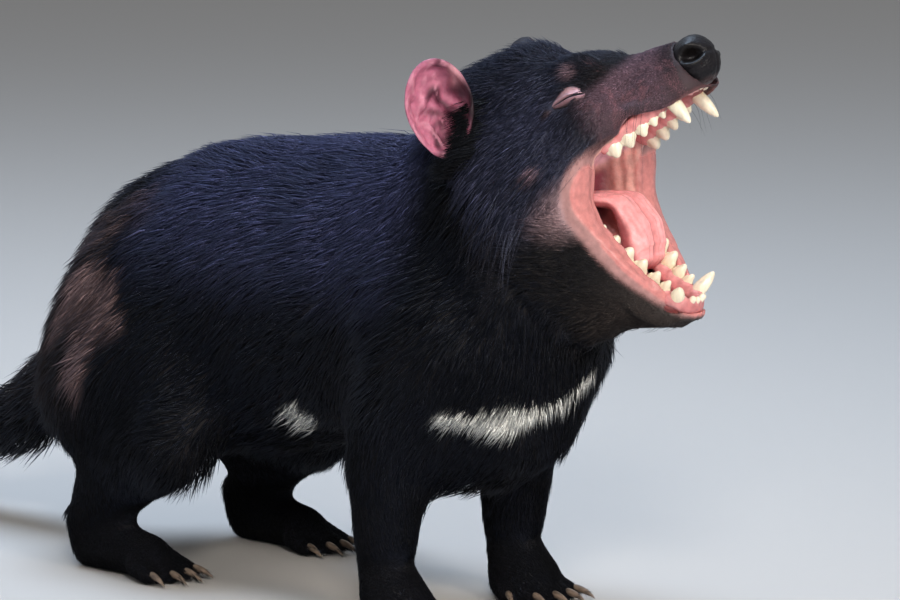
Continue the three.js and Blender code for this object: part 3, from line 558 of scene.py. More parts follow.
def nose_material():
    """Bare wet leather with fine pebbles."""
    material, shader = new_material("nose_leather", {
        "Roughness": 0.42, "Specular IOR Level": 0.20, "Coat Weight": 0.05, "Coat Roughness": 0.2,
    })
    toned(material, shader, noise_node(material, 500, 3), 0.7, 1.4)
    pebbles = add_node(material, "TexVoronoi", {"Scale": 950})
    link(material, add_node(material, "TexCoord", {}), "Object", pebbles, "Vector")
    roughened(material, shader, (pebbles, "Distance", 0.45, 0.0004))
    return material


def eye_material():
    """A dark brown eye under a wet clear surface."""
    material, shader = new_material("eye_glass", {
        "Roughness": 0.08, "Coat Weight": 1.0, "Coat Roughness": 0.03,
    })
    shades = add_node(material, "ValToRGB", {})
    shades.color_ramp.elements[0].color = (0.004, 0.003, 0.003, 1)
    shades.color_ramp.elements[1].color = (0.022, 0.011, 0.007, 1)
    link(material, noise_node(material, 700, 3), "Fac", shades, "Fac")
    link(material, shades, "Color", shader, "Base Color")
    return material


def horn_material():
    """Claw horn: brown with lengthwise streaks."""
    material, shader = new_material("claw_horn", {"Roughness": 0.35})
    toned(material, shader, noise_node(material, 380, 4, (0.3, 1, 1)), 0.5, 1.5)
    return material


# The skin: one surface from the lips to the tail.


def mouth_wall(points):
    """How far points lie outside of the mouth's cavity, in millimetres, below zero inside it."""
    skull, jaw, head = local(SKULL, points), local(JAW, points), local(HEAD, points)

    def row_space(place, space):
        forward = np.maximum(0, place[:, 0] - ARCH_START) / space["long"]
        return (np.hypot(forward, place[:, 1] / space["wide"]) - 1) * space["wide"]

    return np.max([
        row_space(skull, PALATE),
        row_space(jaw, MOUTH_FLOOR),
        skull[:, 2] - PALATE["level"],
        MOUTH_FLOOR["level"] - jaw[:, 2],
        MOUTH_BACK - head[:, 0],
    ], axis=0)


def lining(points, low, high):
    """How surely points are inside the mouth: one inside, fading out to either side of its wall.
    The chin's own skin before the wall, and what lies under the mouth's floor, stay outside."""
    jaw = local(JAW, points)
    chin = ramp(jaw[:, 0], 91.5, 93.5) * fade(jaw[:, 2], -3, -1)
    return fade(mouth_wall(points) + 4 * chin, low, high) * ramp(jaw[:, 2], -9.3, -8.7)


def pits(points):
    """Where two small wet hollows in the floor of the mouth before the tongue are painted dark red, as
    their shade; the floor is not hollowed there.
    """
    head = local(HEAD, points)
    return fade(np.min([apart(head, place, (1.4, 1, 1)) for place in PITS], axis=0), 1.6, 3.6)


def lip_place(points):
    """How far points lie from the lips' middle line, and how far along it, counted in its places."""
    place = folded(local(HEAD, points), 1)
    best, station = np.full(len(points), 1e9), np.zeros(len(points))
    for number, ends in enumerate(zip(LIP_EDGE, LIP_EDGE[1:])):
        t, away = beside(place, *ends)
        station = np.where(away < best, number + t, station)
        best = np.minimum(best, away)
    return best, station


def gape(points):
    """How far points lie outside of the notch between the lips, in millimetres."""
    head = local(HEAD, points)
    ahead, above = head[:, 0] - GAPE["apex"][0], head[:, 2] - GAPE["apex"][1]
    best = np.full(len(points), 1e9)
    for slope in (math.radians(GAPE["up"]), math.radians(GAPE["down"])):
        t = np.maximum(0, ahead * math.cos(slope) + above * math.sin(slope))
        away = np.hypot(ahead - t * math.cos(slope), above - t * math.sin(slope))
        best = np.minimum(best, away)
    heading = np.degrees(np.arctan2(above, ahead))
    between = (heading < GAPE["up"]) & (heading > GAPE["down"])
    return np.where(between, -GAPE["round"], best - GAPE["round"])


def in_front_of_neck(points):
    return (points - np.array(NECK_PLANE[0])) @ np.array(NECK_PLANE[1]) / MM


def on_head(points):
    return ramp(in_front_of_neck(points), -10, 10)


def coat_depth(points):
    """How deep the skin lies under the outside of the coat, in millimetres: least at the feet and
    on the face, most on flank, thigh and tail."""
    height = points[:, 2] / MM
    trunk = 1.0 + 6.0 * ramp(height, 22, 120)
    trunk = trunk - 3.2 * ramp(height, 200, 238)
    thigh = apart(np.abs(points / MM), (50, 80, 130), (70, 30, 50))
    trunk = trunk + 4.0 * fade(thigh, 0.5, 1.4)
    trunk = trunk + (6.5 - trunk) * ramp(-points[:, 0] / MM, 110, 160)
    face = 0.4 + 2.6 * ramp(-local(SKULL, points)[:, 0], -62, 10)
    face = face * ramp(lip_place(points)[0], 4, 14) * ramp(mouth_wall(points), 1.5, 4)
    return trunk + (face - trunk) * ramp(in_front_of_neck(points), -12, 18)


def face_relief(points):
    """Folds of the face and of the inside of the mouth: how far the skin rises, in millimetres."""
    skull, head, jaw = local(SKULL, points), local(HEAD, points), local(JAW, points)
    x, y, z = skull.T
    relief, sway = np.zeros(len(points)), waves(points, 0.03)
    for place, radius, high in WARTS:
        relief += high * np.exp(-((apart(folded(skull, -1), place) / radius) ** 2) * 2)
    top = ramp(z, 46, 58) * fade(np.abs(y), 14, 28)
    relief += top * (2.2 * bell(x, 20, 12) - 3.4 * bell(x, 39, 9))
    brow = ramp(z, 30, 40) * fade(np.abs(y), 12, 24)
    relief -= 3.2 * brow * bell(x, 63, 12)
    left_brow = ramp(y, 12, 22) * ramp(z, 34, 42)
    relief -= 3.0 * left_brow * bell(x, 52, 15)
    muzzle = ramp(x, 42, 58) * fade(x, 80, 88) * ramp(z, 6, 14)
    wrinkles = np.sin((z * 0.85 - x * 0.32) * 1.05 + 2.2 * sway[:, 0])
    relief += 0.4 * muzzle * np.clip(wrinkles, -0.6, 1) * fade(z, 24, 32)
    inside = fade(mouth_wall(points), 1.0, 3.0)
    palate = inside * ramp(z, 4, 8) * ramp(x, 14, 24)
    relief += 0.9 * palate * np.sin((x + 0.018 * y ** 2) * 2 * math.pi / 7.5)
    cheek = inside * ramp(np.abs(head[:, 1]), 15, 21) * (1 - palate)
    relief += 0.4 * cheek * np.sin(head[:, 0] * 0.95 + 1.6 * sway[:, 1] + head[:, 2] * 0.12)
    floor = inside * ramp(-jaw[:, 2], 3, 7)
    relief += 0.5 * floor * np.sin(jaw[:, 1] * 0.8 + 2.0 * sway[:, 0])
    lips, station = lip_place(points)
    rim = fade(lips, 3.5, 6.5) * ramp(station, 3, 5)
    relief += 0.28 * rim * np.sin(station * 9 + 2.5 * sway[:, 1])
    return relief * on_head(points)


# How the lips are drawn from the solids' edge: down in front above, forward at the corners, down
# along the lower jaw, and up off the upper cheek teeth. Each has a frame, a direction, how far in
# millimetres, how near and how far from the lips' line that fades out, and the places along it
# between which it sets in and those between which it ends.
LIP_MOVES = (
    (SKULL, (0, 0, -1), 2.6, (4, 13), (-2, -1), (2.0, 3.6)),
    (HEAD, (1, 0, 0), 4.0, (9, 22), (5.4, 7.0), (9, 11)),
    (JAW, (0, 0, -1), 4.4, (5, 12), (8.6, 10.4), (12.8, 14)),
    (HEAD, (-0.76, 0, 0.65), 5.0, (5, 15), (2.6, 3.8), (4.9, 6.6)),
)


def lip_shift(points):
    """How the lips are drawn from the solids' edge, in metres."""
    (away, station), shift = lip_place(points), np.zeros(points.shape)
    for matrix, way, far, near, start, end in LIP_MOVES:
        much = far * on_head(points) * fade(away, *near) * ramp(station, *start)
        shift += turned(matrix, *way) * (much * fade(station, *end))[:, None]
    return shift * MM


def skin_shape():
    trunk = remeshed(joined("trunk", [copy_of(node) for node in TRUNK]), TRUNK_VOXEL)
    points = points_of(trunk)
    firm_feet = 0.25 + 0.75 * ramp(points[:, 2] / MM, 60, 110)
    set_points(trunk, smoothed(points, edges_of(trunk), 14, firm_feet))
    fills = []
    for side in (1, -1):
        out = SKULL.to_3x3() @ mirrored(EYE["out"], side).normalized()
        middle = placed(SKULL, mirrored(EYE["at"], side)) - out * (EYE["fill"] - 0.2) * MM
        deselect()
        bpy.ops.mesh.primitive_uv_sphere_add(
            segments=48, ring_count=32, radius=EYE["fill"] * MM, location=middle
        )
        bpy.ops.object.transform_apply()
        fills.append(bpy.context.object)
    ends = [copy_of(node) for node in FLESH if node not in TRUNK]
    skin = remeshed(joined("skin", [trunk, *fills, *ends]), SKIN_VOXEL)
    points, edges = points_of(skin), edges_of(skin)
    head = ramp(in_front_of_neck(points), -14, 6)
    feet = fade(points[:, 2] / MM, 18, 34)
    body = (1 - head) * (1 - 0.92 * feet)
    points = smoothed(points, edges, 60, body)
    points = smoothed(points, edges, 12, np.maximum(head, feet))
    set_points(skin, points)
    points = points - normals_of(skin) * (coat_depth(points) * MM)[:, None]
    points = points + lip_shift(points)
    points = smoothed(points, edges, 16, body)
    points = smoothed(points, edges, 1)
    set_points(skin, points)
    points = moved(points, normals_of(skin), face_relief(points))
    points[:, 2] = np.maximum(points[:, 2], 0.0002)
    set_points(skin, points)
    plain = skin.vertex_groups.new(name="plain")
    plain.add([int(i) for i in np.nonzero(head < 0.5)[0]], 1.0, "REPLACE")
    modifier(
        skin, "DECIMATE", ratio=min(1.0, SKIN_TRIANGLES / (2 * len(skin.data.polygons))),
        vertex_group="plain", vertex_group_factor=3.0, use_collapse_triangulate=True,
    )
    skin.vertex_groups.clear()
    return shaded_smooth(skin)


# Markings, the same on skin and coat.

# Along the lips, counted in the places of their edge: how pink they are, how far the wet inner
# band reaches from the notch, how wide the bare pale band beside it is, and how near to the lips'
# line both end, in millimetres.
LIP_STATIONS = (0, 3.6, 4.4, 5.2, 6, 8, 9, 10.5, 12, 13, 15)
LIP_PINK = (0, 0.4, 1, 1, 1, 1, 1, 1, 1, 1, 1)
LIP_WET_EDGE = (0, 1.5, 2.6, 2.0, 0.0, -1.6, 1.4, 4.4, 5.8, 6.0, 2.4)
LIP_PALE_WIDTH = (0, 0, 1.2, 2.4, 4.2, 5.6, 5.6, 4.6, 2.6, 1.2, 0.6)
LIP_NEAR = (15, 15, 15, 15, 15, 16, 18, 18, 16, 13, 8)

# The white band across the chest: its middle line from the animal's right to its left, in
# millimetres of the model's frame, with half its width.
CHEST_BAND = [
    ((214, -63.7, 107.5), 3), ((223.5, -59, 114.5), 7), ((229.2, -51.4, 113), 5.5),
    ((234.6, -43.4, 111.4), 6.5), ((240, -35.5, 112.6), 9.5), ((245.2, -27.3, 114), 7.5),
    ((249.6, -16, 116), 5.5), ((252.4, -6, 118), 5), ((253.2, 5.4, 121.5), 5),
    ((252.8, 16.5, 128), 4.5), ((243.4, 37.3, 133.5), 4),
]
# The white spot on each flank, and brown patches on hip and rump: place, radius and strength.
FLANK_SPOT = ((83, 39, 96), 11.5, 0.85)
BROWN_PATCHES = (
    ((-63, 80, 149), 35, 1.0), ((-35, 48, 210), 22, 0.15), ((-75, 55, 190), 34, 0.35),
)
CHEEK_PATCH = ((17, -48.9, -17.8), (22, 20, 15))


def band(points):
    """How strongly the white band across the chest marks points."""
    share = np.zeros(len(points))
    for (a, wide_a), (b, wide_b) in zip(CHEST_BAND, CHEST_BAND[1:]):
        t, away = beside(points / MM, a, b, (0.6, 0.6, 1))
        wide = wide_a + (wide_b - wide_a) * t
        share = np.maximum(share, fade(away, wide * 0.8, wide * 1.2))
    return share


def lip_band(points):
    """How strongly the bare outer and the wet inner band of the lips mark points."""
    away, (lips, station) = gape(points), lip_place(points)
    reach, wet_edge, pale_width, share = (
        np.interp(station, LIP_STATIONS, row)
        for row in (LIP_NEAR, LIP_WET_EDGE, LIP_PALE_WIDTH, LIP_PINK)
    )
    share = fade(lips, reach - 4, reach) * on_head(points) * share
    pale_edge = wet_edge + pale_width
    inner = share * fade(away, wet_edge - 0.6, wet_edge + 0.9)
    outer = share * fade(away, pale_edge - 2.0, pale_edge + 2.5)
    return outer * (pale_edge - wet_edge > 0.3), inner


def blotches(points):
    return ramp(waves(points, 0.012)[:, 0] + 0.5 * waves(points, 0.004)[:, 1], 0.0, 0.8)


def coat_colour(points, base):
    ahead, _, height = (points / MM).T
    skull, head, both_sides = local(SKULL, points), on_head(points), folded(points / MM, 1)
    x, _, z = skull.T
    # back: where the top of the back takes the painted bluish sheen of sky light.
    back = ramp(height, 150, 212) * ramp(ahead, -60, -10) * fade(ahead, 165, 205)
    rump = fade(ahead, -100, -40) * ramp(height, 60, 120)
    tone = layered(base, (PAINTED_BACK_SHEEN, back), (BROWN_BLACK, rump))
    worn = waves(points * (0.6, 1, 0.25), 0.02)[:, 0]
    for place, radius, share in BROWN_PATCHES:
        away = apart(both_sides, place) / radius + 0.45 * worn
        tone = mixed(tone, BROWN, share * fade(away, 0.1, 1.15))
    chin = head * ramp(local(JAW, points)[:, 0], 45, 80) * ramp(-z, -4, 8)
    muzzle = head * ramp(x - 24 * ramp(z, 27, 42), 40, 60) * ramp(z, -6, 2)
    muzzle *= 1 - 0.4 * ramp(z, 29, 37) * fade(x, 56, 70)
    tone = layered(
        tone,
        (FACE_BLACK, head),
        (CHIN_BROWN, chin),
        (CHEEK_BLUE, head * ramp(z, -30, 0) * fade(x, 20, 60)),
        (CROWN_BLACK, 0.8 * head * ramp(z, 30, 60)),
        (MUZZLE_HAIR, 0.9 * muzzle * (1 - 0.7 * ramp(x, 80, 92))),
        (MUZZLE_PINK, 0.6 * muzzle * blotches(points) * fade(z, 22, 32)),
        (CHEEK_SKIN, 0.95 * head * fade(apart(folded(skull, -1), *CHEEK_PATCH), 0.05, 1.35)),
    )
    for place, radius, _ in WARTS:
        wart = fade(apart(folded(skull, -1), place) / radius, 0.3, 1.3)
        tone = mixed(tone, WART_PINK, 0.75 * head * wart)
    corner = fade(apart(folded(skull, -1), EYE["corner"]), 1.5, 3.2)
    place, radius, strength = FLANK_SPOT
    spot = fade(apart(both_sides, place) / radius, 0.7, 1.2)
    return layered(
        tone, (EYE_DARK, 0.8 * head * corner), (LIP_PALE, lip_band(points)[0]),
        (WHITE, band(points)), (WHITE, strength * spot),
    )


def paint_skin(skin):
    points = points_of(skin)
    jaw, head, on = local(JAW, points), local(HEAD, points), on_head(points)
    x, _, z = local(SKULL, points).T
    edge, station = lip_place(points)
    inner, inside = lip_band(points)[1], on * lining(points, 1.0, 3.0)
    muzzle = on * ramp(x, 44, 62) * ramp(z, 0, 10)
    flesh = layered(
        MOUTH_PINK,
        (LIP_WET, fade(edge, 9, 16)),
        (CHEEK_RED, ramp(np.abs(head[:, 1]), 13, 20) * fade(-jaw[:, 2], 0, 6)),
        (PALATE_PINK, ramp(z, 3, 8)),
        (PALATE_BACK, ramp(z, 3, 8) * fade(x, 22, 40)),
        # Painted shade at the back of the mouth, towards the throat.
        (THROAT_SHADE, fade(head[:, 0], 6, 16) * fade(z, 0, 8)),
        # Painted shade of two small hollows in the mouth's floor.
        (PIT_SHADE_RED, 0.8 * pits(points)),
    )
    paint(skin, layered(
        coat_colour(points, SKIN_BLACK),
        (MUZZLE, muzzle * (1 - 0.5 * ramp(z, 28, 36))),
        (SKIN_BLACK, 0.75 * on * ramp(x, 84, 90)),
        (MUZZLE_PINK, 0.25 * muzzle * blotches(points) * fade(x, 78, 88)),
        (LIP_DARK, 0.9 * on * fade(edge, 3.5, 9) * fade(station, 3.6, 4.8)),
        (flesh, inside),
        (LIP_WET, inner),
    ), np.maximum(inside, inner))


# Teeth, gums and tongue.

# The kinds of teeth, from root to tip: rise, half width, half depth and shift forward or back, in
# thousandths of a tooth's own size. A cheek tooth also has two low cusps beside its high one, each
# with a shift and a height.
INCISOR = (
    (-300, 700, 800, 0), (0, 850, 900, 0), (500, 1050, 1100, 0), (850, 900, 950, 0),
    (1000, 500, 500, 0),
)
CANINE = (
    (-220, 980, 880, 0), (0, 1000, 920, 0), (250, 990, 900, 10), (500, 880, 800, 30),
    (720, 660, 620, 70), (880, 440, 420, 110), (970, 240, 230, 140), (1000, 60, 60, 150),
)
CHEEK_TOOTH = (
    (-300, 950, 850, 0), (200, 1000, 900, 0), (600, 780, 700, 0), (880, 470, 430, 20),
    (1000, 200, 200, 30),
)
SIDE_CUSPS = ((-720, 560), (740, 640))
CHEEK_TOOTH_TRIANGLES = 900

# The teeth of one side, from the front: place, length and half width in millimetres. The long
# canines also have a lean and how much of their length is left on the right side.
UPPER_TEETH = [
    ((94.5, 2, 9.5), 3.8, 1.8), ((93.5, 5.9, 10), 3.8, 1.8), ((91, 9.4, 10), 3.8, 1.9),
    ((81.2, 15.0, 9), 15.5, 4.1, (0.3, 0.1), 1.0), ((74, 15, 7.5), 5.5, 2.6), ((68, 16, 7), 6, 3.0),
    ((61, 18, 6.5), 7.0, 3.6), ((52.5, 20.5, 5.5), 7.4, 4.2), ((44, 23, 4.5), 7.2, 4.2),
]
LOWER_TEETH = [
    ((92.5, 2, 4), 5.0, 1.8), ((91.5, 5.6, 4), 5.0, 1.9),
    ((86, 11.5, 3.0), 13.5, 4.1, (-0.06, 0.34), 0.58),
    ((78, 13.5, 0.5), 7.5, 2.8), ((71, 15, -1), 8.6, 3.4), ((62, 17.5, -2), 9.6, 4.1),
    ((53, 20, -3), 10.4, 4.6), ((44, 22.5, -3), 10.4, 4.6), ((35, 24.5, -3), 10, 4.4),
]
INCISOR_WIDTH = 2


def lofted(name, sections, around=12):
    """A round piece from its filled root to its tip: rises, half sizes and shifts in millimetres."""
    deselect()
    bpy.ops.mesh.primitive_circle_add(vertices=around, radius=1, fill_type="NGON")
    obj = bpy.context.object
    obj.name = name
    bpy.ops.object.mode_set(mode="EDIT")
    bpy.ops.mesh.select_all(action="SELECT")
    (height, wide, deep, shift), *rest = sections
    middle = Vector((0, 0, 0))
    bpy.ops.transform.resize(value=(wide * MM, deep * MM, 1), center_override=middle)
    for next_height, next_wide, next_deep, next_shift in rest:
        step = Vector((next_shift - shift, 0, next_height - height)) * MM
        bpy.ops.mesh.extrude_region_move(TRANSFORM_OT_translate={"value": step})
        middle = middle + step
        narrower = (next_wide / wide, next_deep / deep, 1)
        bpy.ops.transform.resize(value=narrower, center_override=middle)
        height, wide, deep, shift = next_height, next_wide, next_deep, next_shift
    edited(obj, bpy.ops.mesh.normals_make_consistent, inside=False)
    return obj


def cheek_tooth():
    """A tooth with one high and two low cusps, made one rounded surface."""
    cusps = [lofted("cheek_tooth_kind", CHEEK_TOOTH)]
    for shift, tall in SIDE_CUSPS:
        cusps.append(lofted("cusp", (
            (-300, 560, 640, 0), (150, 560, 640, 0), (tall * 0.75, 390, 440, 0), (tall, 160, 180, 0),
        )))
        cusps[-1].data.transform(Matrix.Translation((shift * MM, 0, 0)))
    tooth = remeshed(joined("cheek_tooth_kind", cusps), 70 * MM)
    modifier(tooth, "SMOOTH", factor=0.5, iterations=4)
    fewer = CHEEK_TOOTH_TRIANGLES / (2 * len(tooth.data.polygons))
    modifier(tooth, "DECIMATE", ratio=min(1.0, fewer))
    return shaded_smooth(tooth)


def tooth_row(name, matrix, teeth, down, kinds):
    """All teeth of a row, each copied from its kind."""
    incisor, fang, cheek = kinds
    places = [Vector(tooth[0]) for tooth in teeth]
    row = []
    for number, (_, long, wide, *lean_and_left) in enumerate(teeth):
        lean, left_over = lean_and_left or ((0, 0.08), 1.0)
        kind = incisor if wide < INCISOR_WIDTH else fang if lean_and_left else cheek
        back = places[min(number + 1, len(places) - 1)] - places[max(number - 1, 0)]
        for side in (1, -1):
            axis = Vector((lean[0], lean[1] * side, down)).normalized()
            along = Vector((0, 1, 0)) if kind is incisor else mirrored(back, side)
            along = (along - axis * along.dot(axis)).normalized()
            turn = Matrix((along, axis.cross(along), axis)).transposed().to_4x4()
            where = Matrix.Translation(mirrored(places[number], side) * MM)
            tall = long * (left_over if side < 0 else 1)
            mesh = kind.data.copy()
            for step in (Matrix.Diagonal((wide * MM, wide * MM, tall * MM, 1)), turn, where, matrix):
                mesh.transform(step)
            row.append(new_object(f"{name}_{number}", mesh))
    return joined(name, row)


def gum_ridge(name, matrix, teeth, down):
    """The gum under a row: one smooth ridge round the arch that swells about each tooth."""
    places = [Vector(tooth[0]) for tooth in teeth]
    places.append(places[-1] + (places[-1] - places[-2]) * 0.8)
    path = [*places[::-1], *[mirrored(place, -1) for place in places]]
    curve = bpy.data.curves.new(name, "CURVE")
    curve.dimensions = "3D"
    curve.bevel_depth = 4.4 * MM
    curve.bevel_resolution = 5
    curve.use_fill_caps = True
    curve.resolution_u = 8
    spline = curve.splines.new("BEZIER")
    spline.bezier_points.add(len(path) - 1)
    for point, place in zip(spline.bezier_points, path):
        point.co = (place - Vector((0, 0, down * 0.6))) * MM
        point.handle_left_type = point.handle_right_type = "AUTO"
    pick(new_object(name, curve))
    bpy.ops.object.convert(target="MESH")
    obj = bpy.context.object
    obj.data.transform(matrix)
    remeshed(obj, 0.7 * MM)
    points, normals = points_of(obj), normals_of(obj)
    x, y, _ = folded(local(matrix, points), 1).T
    swell = np.zeros(len(points))
    for at, _, wide, *_ in teeth:
        swell = np.maximum(swell, fade(np.hypot(x - at[0], y - at[1]), wide * 0.8, wide * 1.6))
    points = moved(points, turned(matrix, 0, 0, down), swell * 1.5 - 0.5)
    points = points + normals * (waves(points, 0.008)[:, :1] * 0.2 * MM)
    set_points(obj, smoothed(points, edges_of(obj), 3))
    dark = ramp(x, 66, 84) * (0.85 if down < 0 else 0.15)
    return paint(shaded_smooth(obj), layered(GUM, (GUM_PALE, swell * 0.5), (GUM_DARK, dark)), 1)


def tongue():
    obj = remeshed(copy_of("tongue", "tongue_soft"), 0.8 * MM)
    edges = edges_of(obj)
    points = smoothed(points_of(obj), edges, 30)
    x, _, z = local(HEAD, points).T
    top = np.interp(x, [2, 18, 30, 38], [-4.5, -3, -3, -12])
    points = moved(points, turned(HEAD, 0, 0, 1), 0.5 * fade(x, 24, 36) * (top - z))
    beyond = np.maximum(0, (x - 42) * 0.75 - (z + 34) * 0.66)
    points = moved(points, turned(HEAD, 0.75, 0, -0.66), -0.8 * beyond)
    set_points(obj, points)
    (x, y, _), normals = local(HEAD, points).T, normals_of(obj)
    across = y - np.interp(x, [2, 18, 30, 38, 41, 49, 58], [5, 6, 7, 6, 5, 5, 4])
    upper = ramp(normals @ turned(HEAD, 1, 0, 1), -0.2, 0.5)
    groove = -1.3 * bell(across, 0, 2.2) * upper
    folds = 0.45 * np.sin(across * 1.1 + 2.5 * waves(points, 0.02)[:, 0]) * upper
    lift = 0.5 + groove + folds * ramp(np.abs(across), 2, 5)
    set_points(obj, smoothed(moved(points, normals, lift), edges, 1))
    return paint(shaded_smooth(obj), layered(
        TONGUE, (TONGUE_GROOVE, bell(across, 0, 2.5) * 0.7 * upper), (TONGUE_UNDER, 1 - upper),
        # Painted shade of two small hollows in the mouth's floor, where the tongue reaches them.
        (PIT_SHADE_RED, 0.8 * pits(points)),
    ), 1)


def mouth_pieces():
    kinds = [
        subdivided(lofted("incisor_kind", INCISOR)), subdivided(lofted("canine_kind", CANINE, 16)),
        cheek_tooth(),
    ]
    ivory = tooth_material()
    for name, matrix, teeth, down in (
        ("upper", SKULL, UPPER_TEETH, -1), ("lower", JAW, LOWER_TEETH, 1),
    ):
        row = tooth_row(f"{name}_teeth", matrix, teeth, down, kinds)
        root = fade((local(matrix, points_of(row))[:, 2] - 5) * down, -3, 5)
        paint(row, mixed(IVORY, TOOTH_ROOT, 0.45 * root))
        kept(row, "teeth_and_gum", ivory, f"{name}_gum")
        ridge = gum_ridge(f"{name}_gum_ridge", matrix, teeth, down)
        kept(ridge, "teeth_and_gum", SKIN, f"{name}_gum")
    for kind in kinds:
        bpy.data.objects.remove(kind)
    kept(tongue(), "tongue_flesh", SKIN, "tongue")


# Nose, eyes and ears.

# The nose pad and the left nostril, in the skull's frame.
NOSE = {"at": (98, 0, 19), "half": (12.7, 13.6, 13.6)}
NOSTRIL = {"at": (103.2, 11.4, 21.6), "out": (0.52, 0.83, 0.18)}


def nose():
    deselect()
    bpy.ops.mesh.primitive_ico_sphere_add(subdivisions=6, radius=1)
    obj = bpy.context.object
    obj.name = obj.data.name = "nose_pad"
    points, half = points_of(obj), np.array(NOSE["half"])
    shape, out = points * half, unit(points / half)
    shape[:, 2] += 0.9 * ramp(points[:, 2], 0.2, 0.8) * ramp(points[:, 0], 0.0, 0.7)
    shape += np.array(NOSE["at"])
    for side in (1, -1):
        axis = unit(np.array(NOSTRIL["out"]) * (1, side, 1))
        along = unit(np.cross((0, 0, 1), axis)) * side
        up = np.cross(axis, np.cross((0, 0, 1), axis))
        away = shape - np.array(NOSTRIL["at"]) * (1, side, 1)
        a, b = away @ along, away @ up
        hole = np.exp(-(((a / 5.0) ** 2 + ((b - 0.12 * a) / 2.9) ** 2) ** 1.25))
        slit = bell(a, -6.5, 4.5) * bell(b, -1.6, 1.3)
        crescent = bell(np.hypot(a / 1.35, b + 0.4), 4.8, 1.3) * ramp(-b, 0.5, 3)
        lift = 1.5 * crescent + 1.2 * bell(a, 0.5, 4.0) * bell(b, 5.2, 2.2) - 1.3 * slit
        near = ramp(out @ axis, 0.3, 0.6)[:, None]
        shape = shape + (axis * (-7.0 * hole)[:, None] + out * lift[:, None]) * near
    groove = bell(shape[:, 1], 0, 1.1) * ramp(out[:, 0], 0.3, 0.8) * fade(shape[:, 2], 14, 20)
    shape = shape - out * (0.8 * groove)[:, None]
    shape = shape + out * waves(shape * MM, 0.0022)[:, :1] * 0.10
    matrix = np.array(SKULL)
    set_points(obj, (shape * MM) @ matrix[:3, :3].T + matrix[:3, 3])
    tone = mixed(NOSE_BLACK, NOSE_UNDER, 0.8 * ramp(-out[:, 2], 0.75, 0.95))
    # Each nostril is painted darker round its middle, as the shade inside the hole.
    for side in (1, -1):
        at = np.array(NOSTRIL["at"]) * (1, side, 1)
        tone = mixed(tone, NOSTRIL_SHADE, fade(apart(shape, at), 4.0, 8.0))
    kept(paint(shaded_smooth(obj), tone), "nose_skin", nose_material(), "nose")


# The eyelids, above and below the slit: half their length, how wide and how thick each is, its
# tone, how far its edge lies from the slit's middle line, and where across it the tone darkens.
LIDS = (
    ("upper_lid", 1, 9.6, 8.0, 1.4, (0.50, 0.29, 0.33), 0.8, 0.42),
    ("lower_lid", -1, 8.8, 3.4, 1.0, (0.30, 0.155, 0.18), 0.8, 0.2),
)
LID_ROWS, LID_PLACES = 41, 15


def eyes(surface):
    shine, turn = eye_material(), SKULL.to_3x3()
    for name, side in (("left", -1), ("right", 1)):
        out = (turn @ mirrored(EYE["out"], side)).normalized()
        ahead = turn @ mirrored(EYE["ahead"], side)
        ahead = (ahead - out * ahead.dot(out)).normalized()
        up = out.cross(ahead) * side
        hit = surface.ray_cast(placed(SKULL, mirrored(EYE["at"], side)) + out * 0.03, -out)[0]
        deselect()
        bpy.ops.mesh.primitive_uv_sphere_add(segments=32, ring_count=20, radius=EYE["radius"] * MM)
        ball = bpy.context.object
        ball.name = ball.data.name = f"eyeball_{name}"
        ball.data.transform(Matrix.Translation(hit - out * (EYE["radius"] + 0.1) * MM))
        kept(shaded_smooth(ball), "eye", shine, f"eye_{name}")
        for lid, above, *shape in LIDS:
            make_lid(f"{lid}_{name}", surface, hit, (ahead, up * above, out), *shape)


def make_lid(name, surface, middle, ways, half, wide, thick, tone, edge, darkens):
    """A soft fold that lies on the skin beside the eye's slit and rounds over into it."""
    ahead, up, out = ways
    places, tones = [], []
    for i in range(LID_ROWS):
        s = 2 * i / (LID_ROWS - 1) - 1
        arch = max(0.0, 1 - s * s)
        for j in range(LID_PLACES):
            t = j / (LID_PLACES - 1)
            reach = edge * arch ** 0.5 + wide * arch ** 0.55 * (0.8 + 0.2 * s) * t
            base = middle + (ahead * (s * half + 0.4 * t) + up * reach) * MM
            hit = surface.ray_cast(base + out * 0.02, -out)[0] or base
            rise = thick * arch ** 0.4 * math.cos(t * math.pi / 2) ** 0.8
            rise += 0.16 * math.sin(9 * t + 3 * s) * (1 - t) - 0.35 * t
            places.append(hit + out * (rise if j else -2.2) * MM)
            bright = (1 - 0.95 * ramp(t, darkens, 0.95)) * (0.68 + 0.32 * s)
            tones.append([c * bright for c in tone])
    first = [i * LID_PLACES + j for i in range(LID_ROWS - 1) for j in range(LID_PLACES - 1)]
    faces = [(k, k + LID_PLACES, k + LID_PLACES + 1, k + 1) for k in first]
    mesh = bpy.data.meshes.new(name)
    mesh.from_pydata([tuple(p) for p in places], [], faces)
    obj = new_object(name, mesh)
    modifier(obj, "SOLIDIFY", thickness=0.8 * MM, offset=-1)
    edited(subdivided(obj), bpy.ops.mesh.normals_make_consistent, inside=False)
    lookup = nearest_of(places)
    shades = np.array([tones[lookup.find(p)[1]] for p in points_of(obj)])
    kept(paint(shaded_smooth(obj), shades, 0.35), "coat", SKIN)


# The left ear in the head's frame: its place, the ways it faces and stands, and half its width
# and height.
EAR = {
    "at": (-53, 47, 43), "out": (0.46, 0.88, 0.08), "up": (-0.22, 0, 0.97), "half": (19, 28),
}


def ear_frame(side):
    out, up = mirrored(EAR["out"], side).normalized(), Vector(EAR["up"])
    up = (up - out * up.dot(out)).normalized()
    turn = Matrix((up.cross(out), up, out)).transposed().to_4x4()
    return HEAD @ Matrix.Translation(mirrored(EAR["at"], side) * MM) @ turn


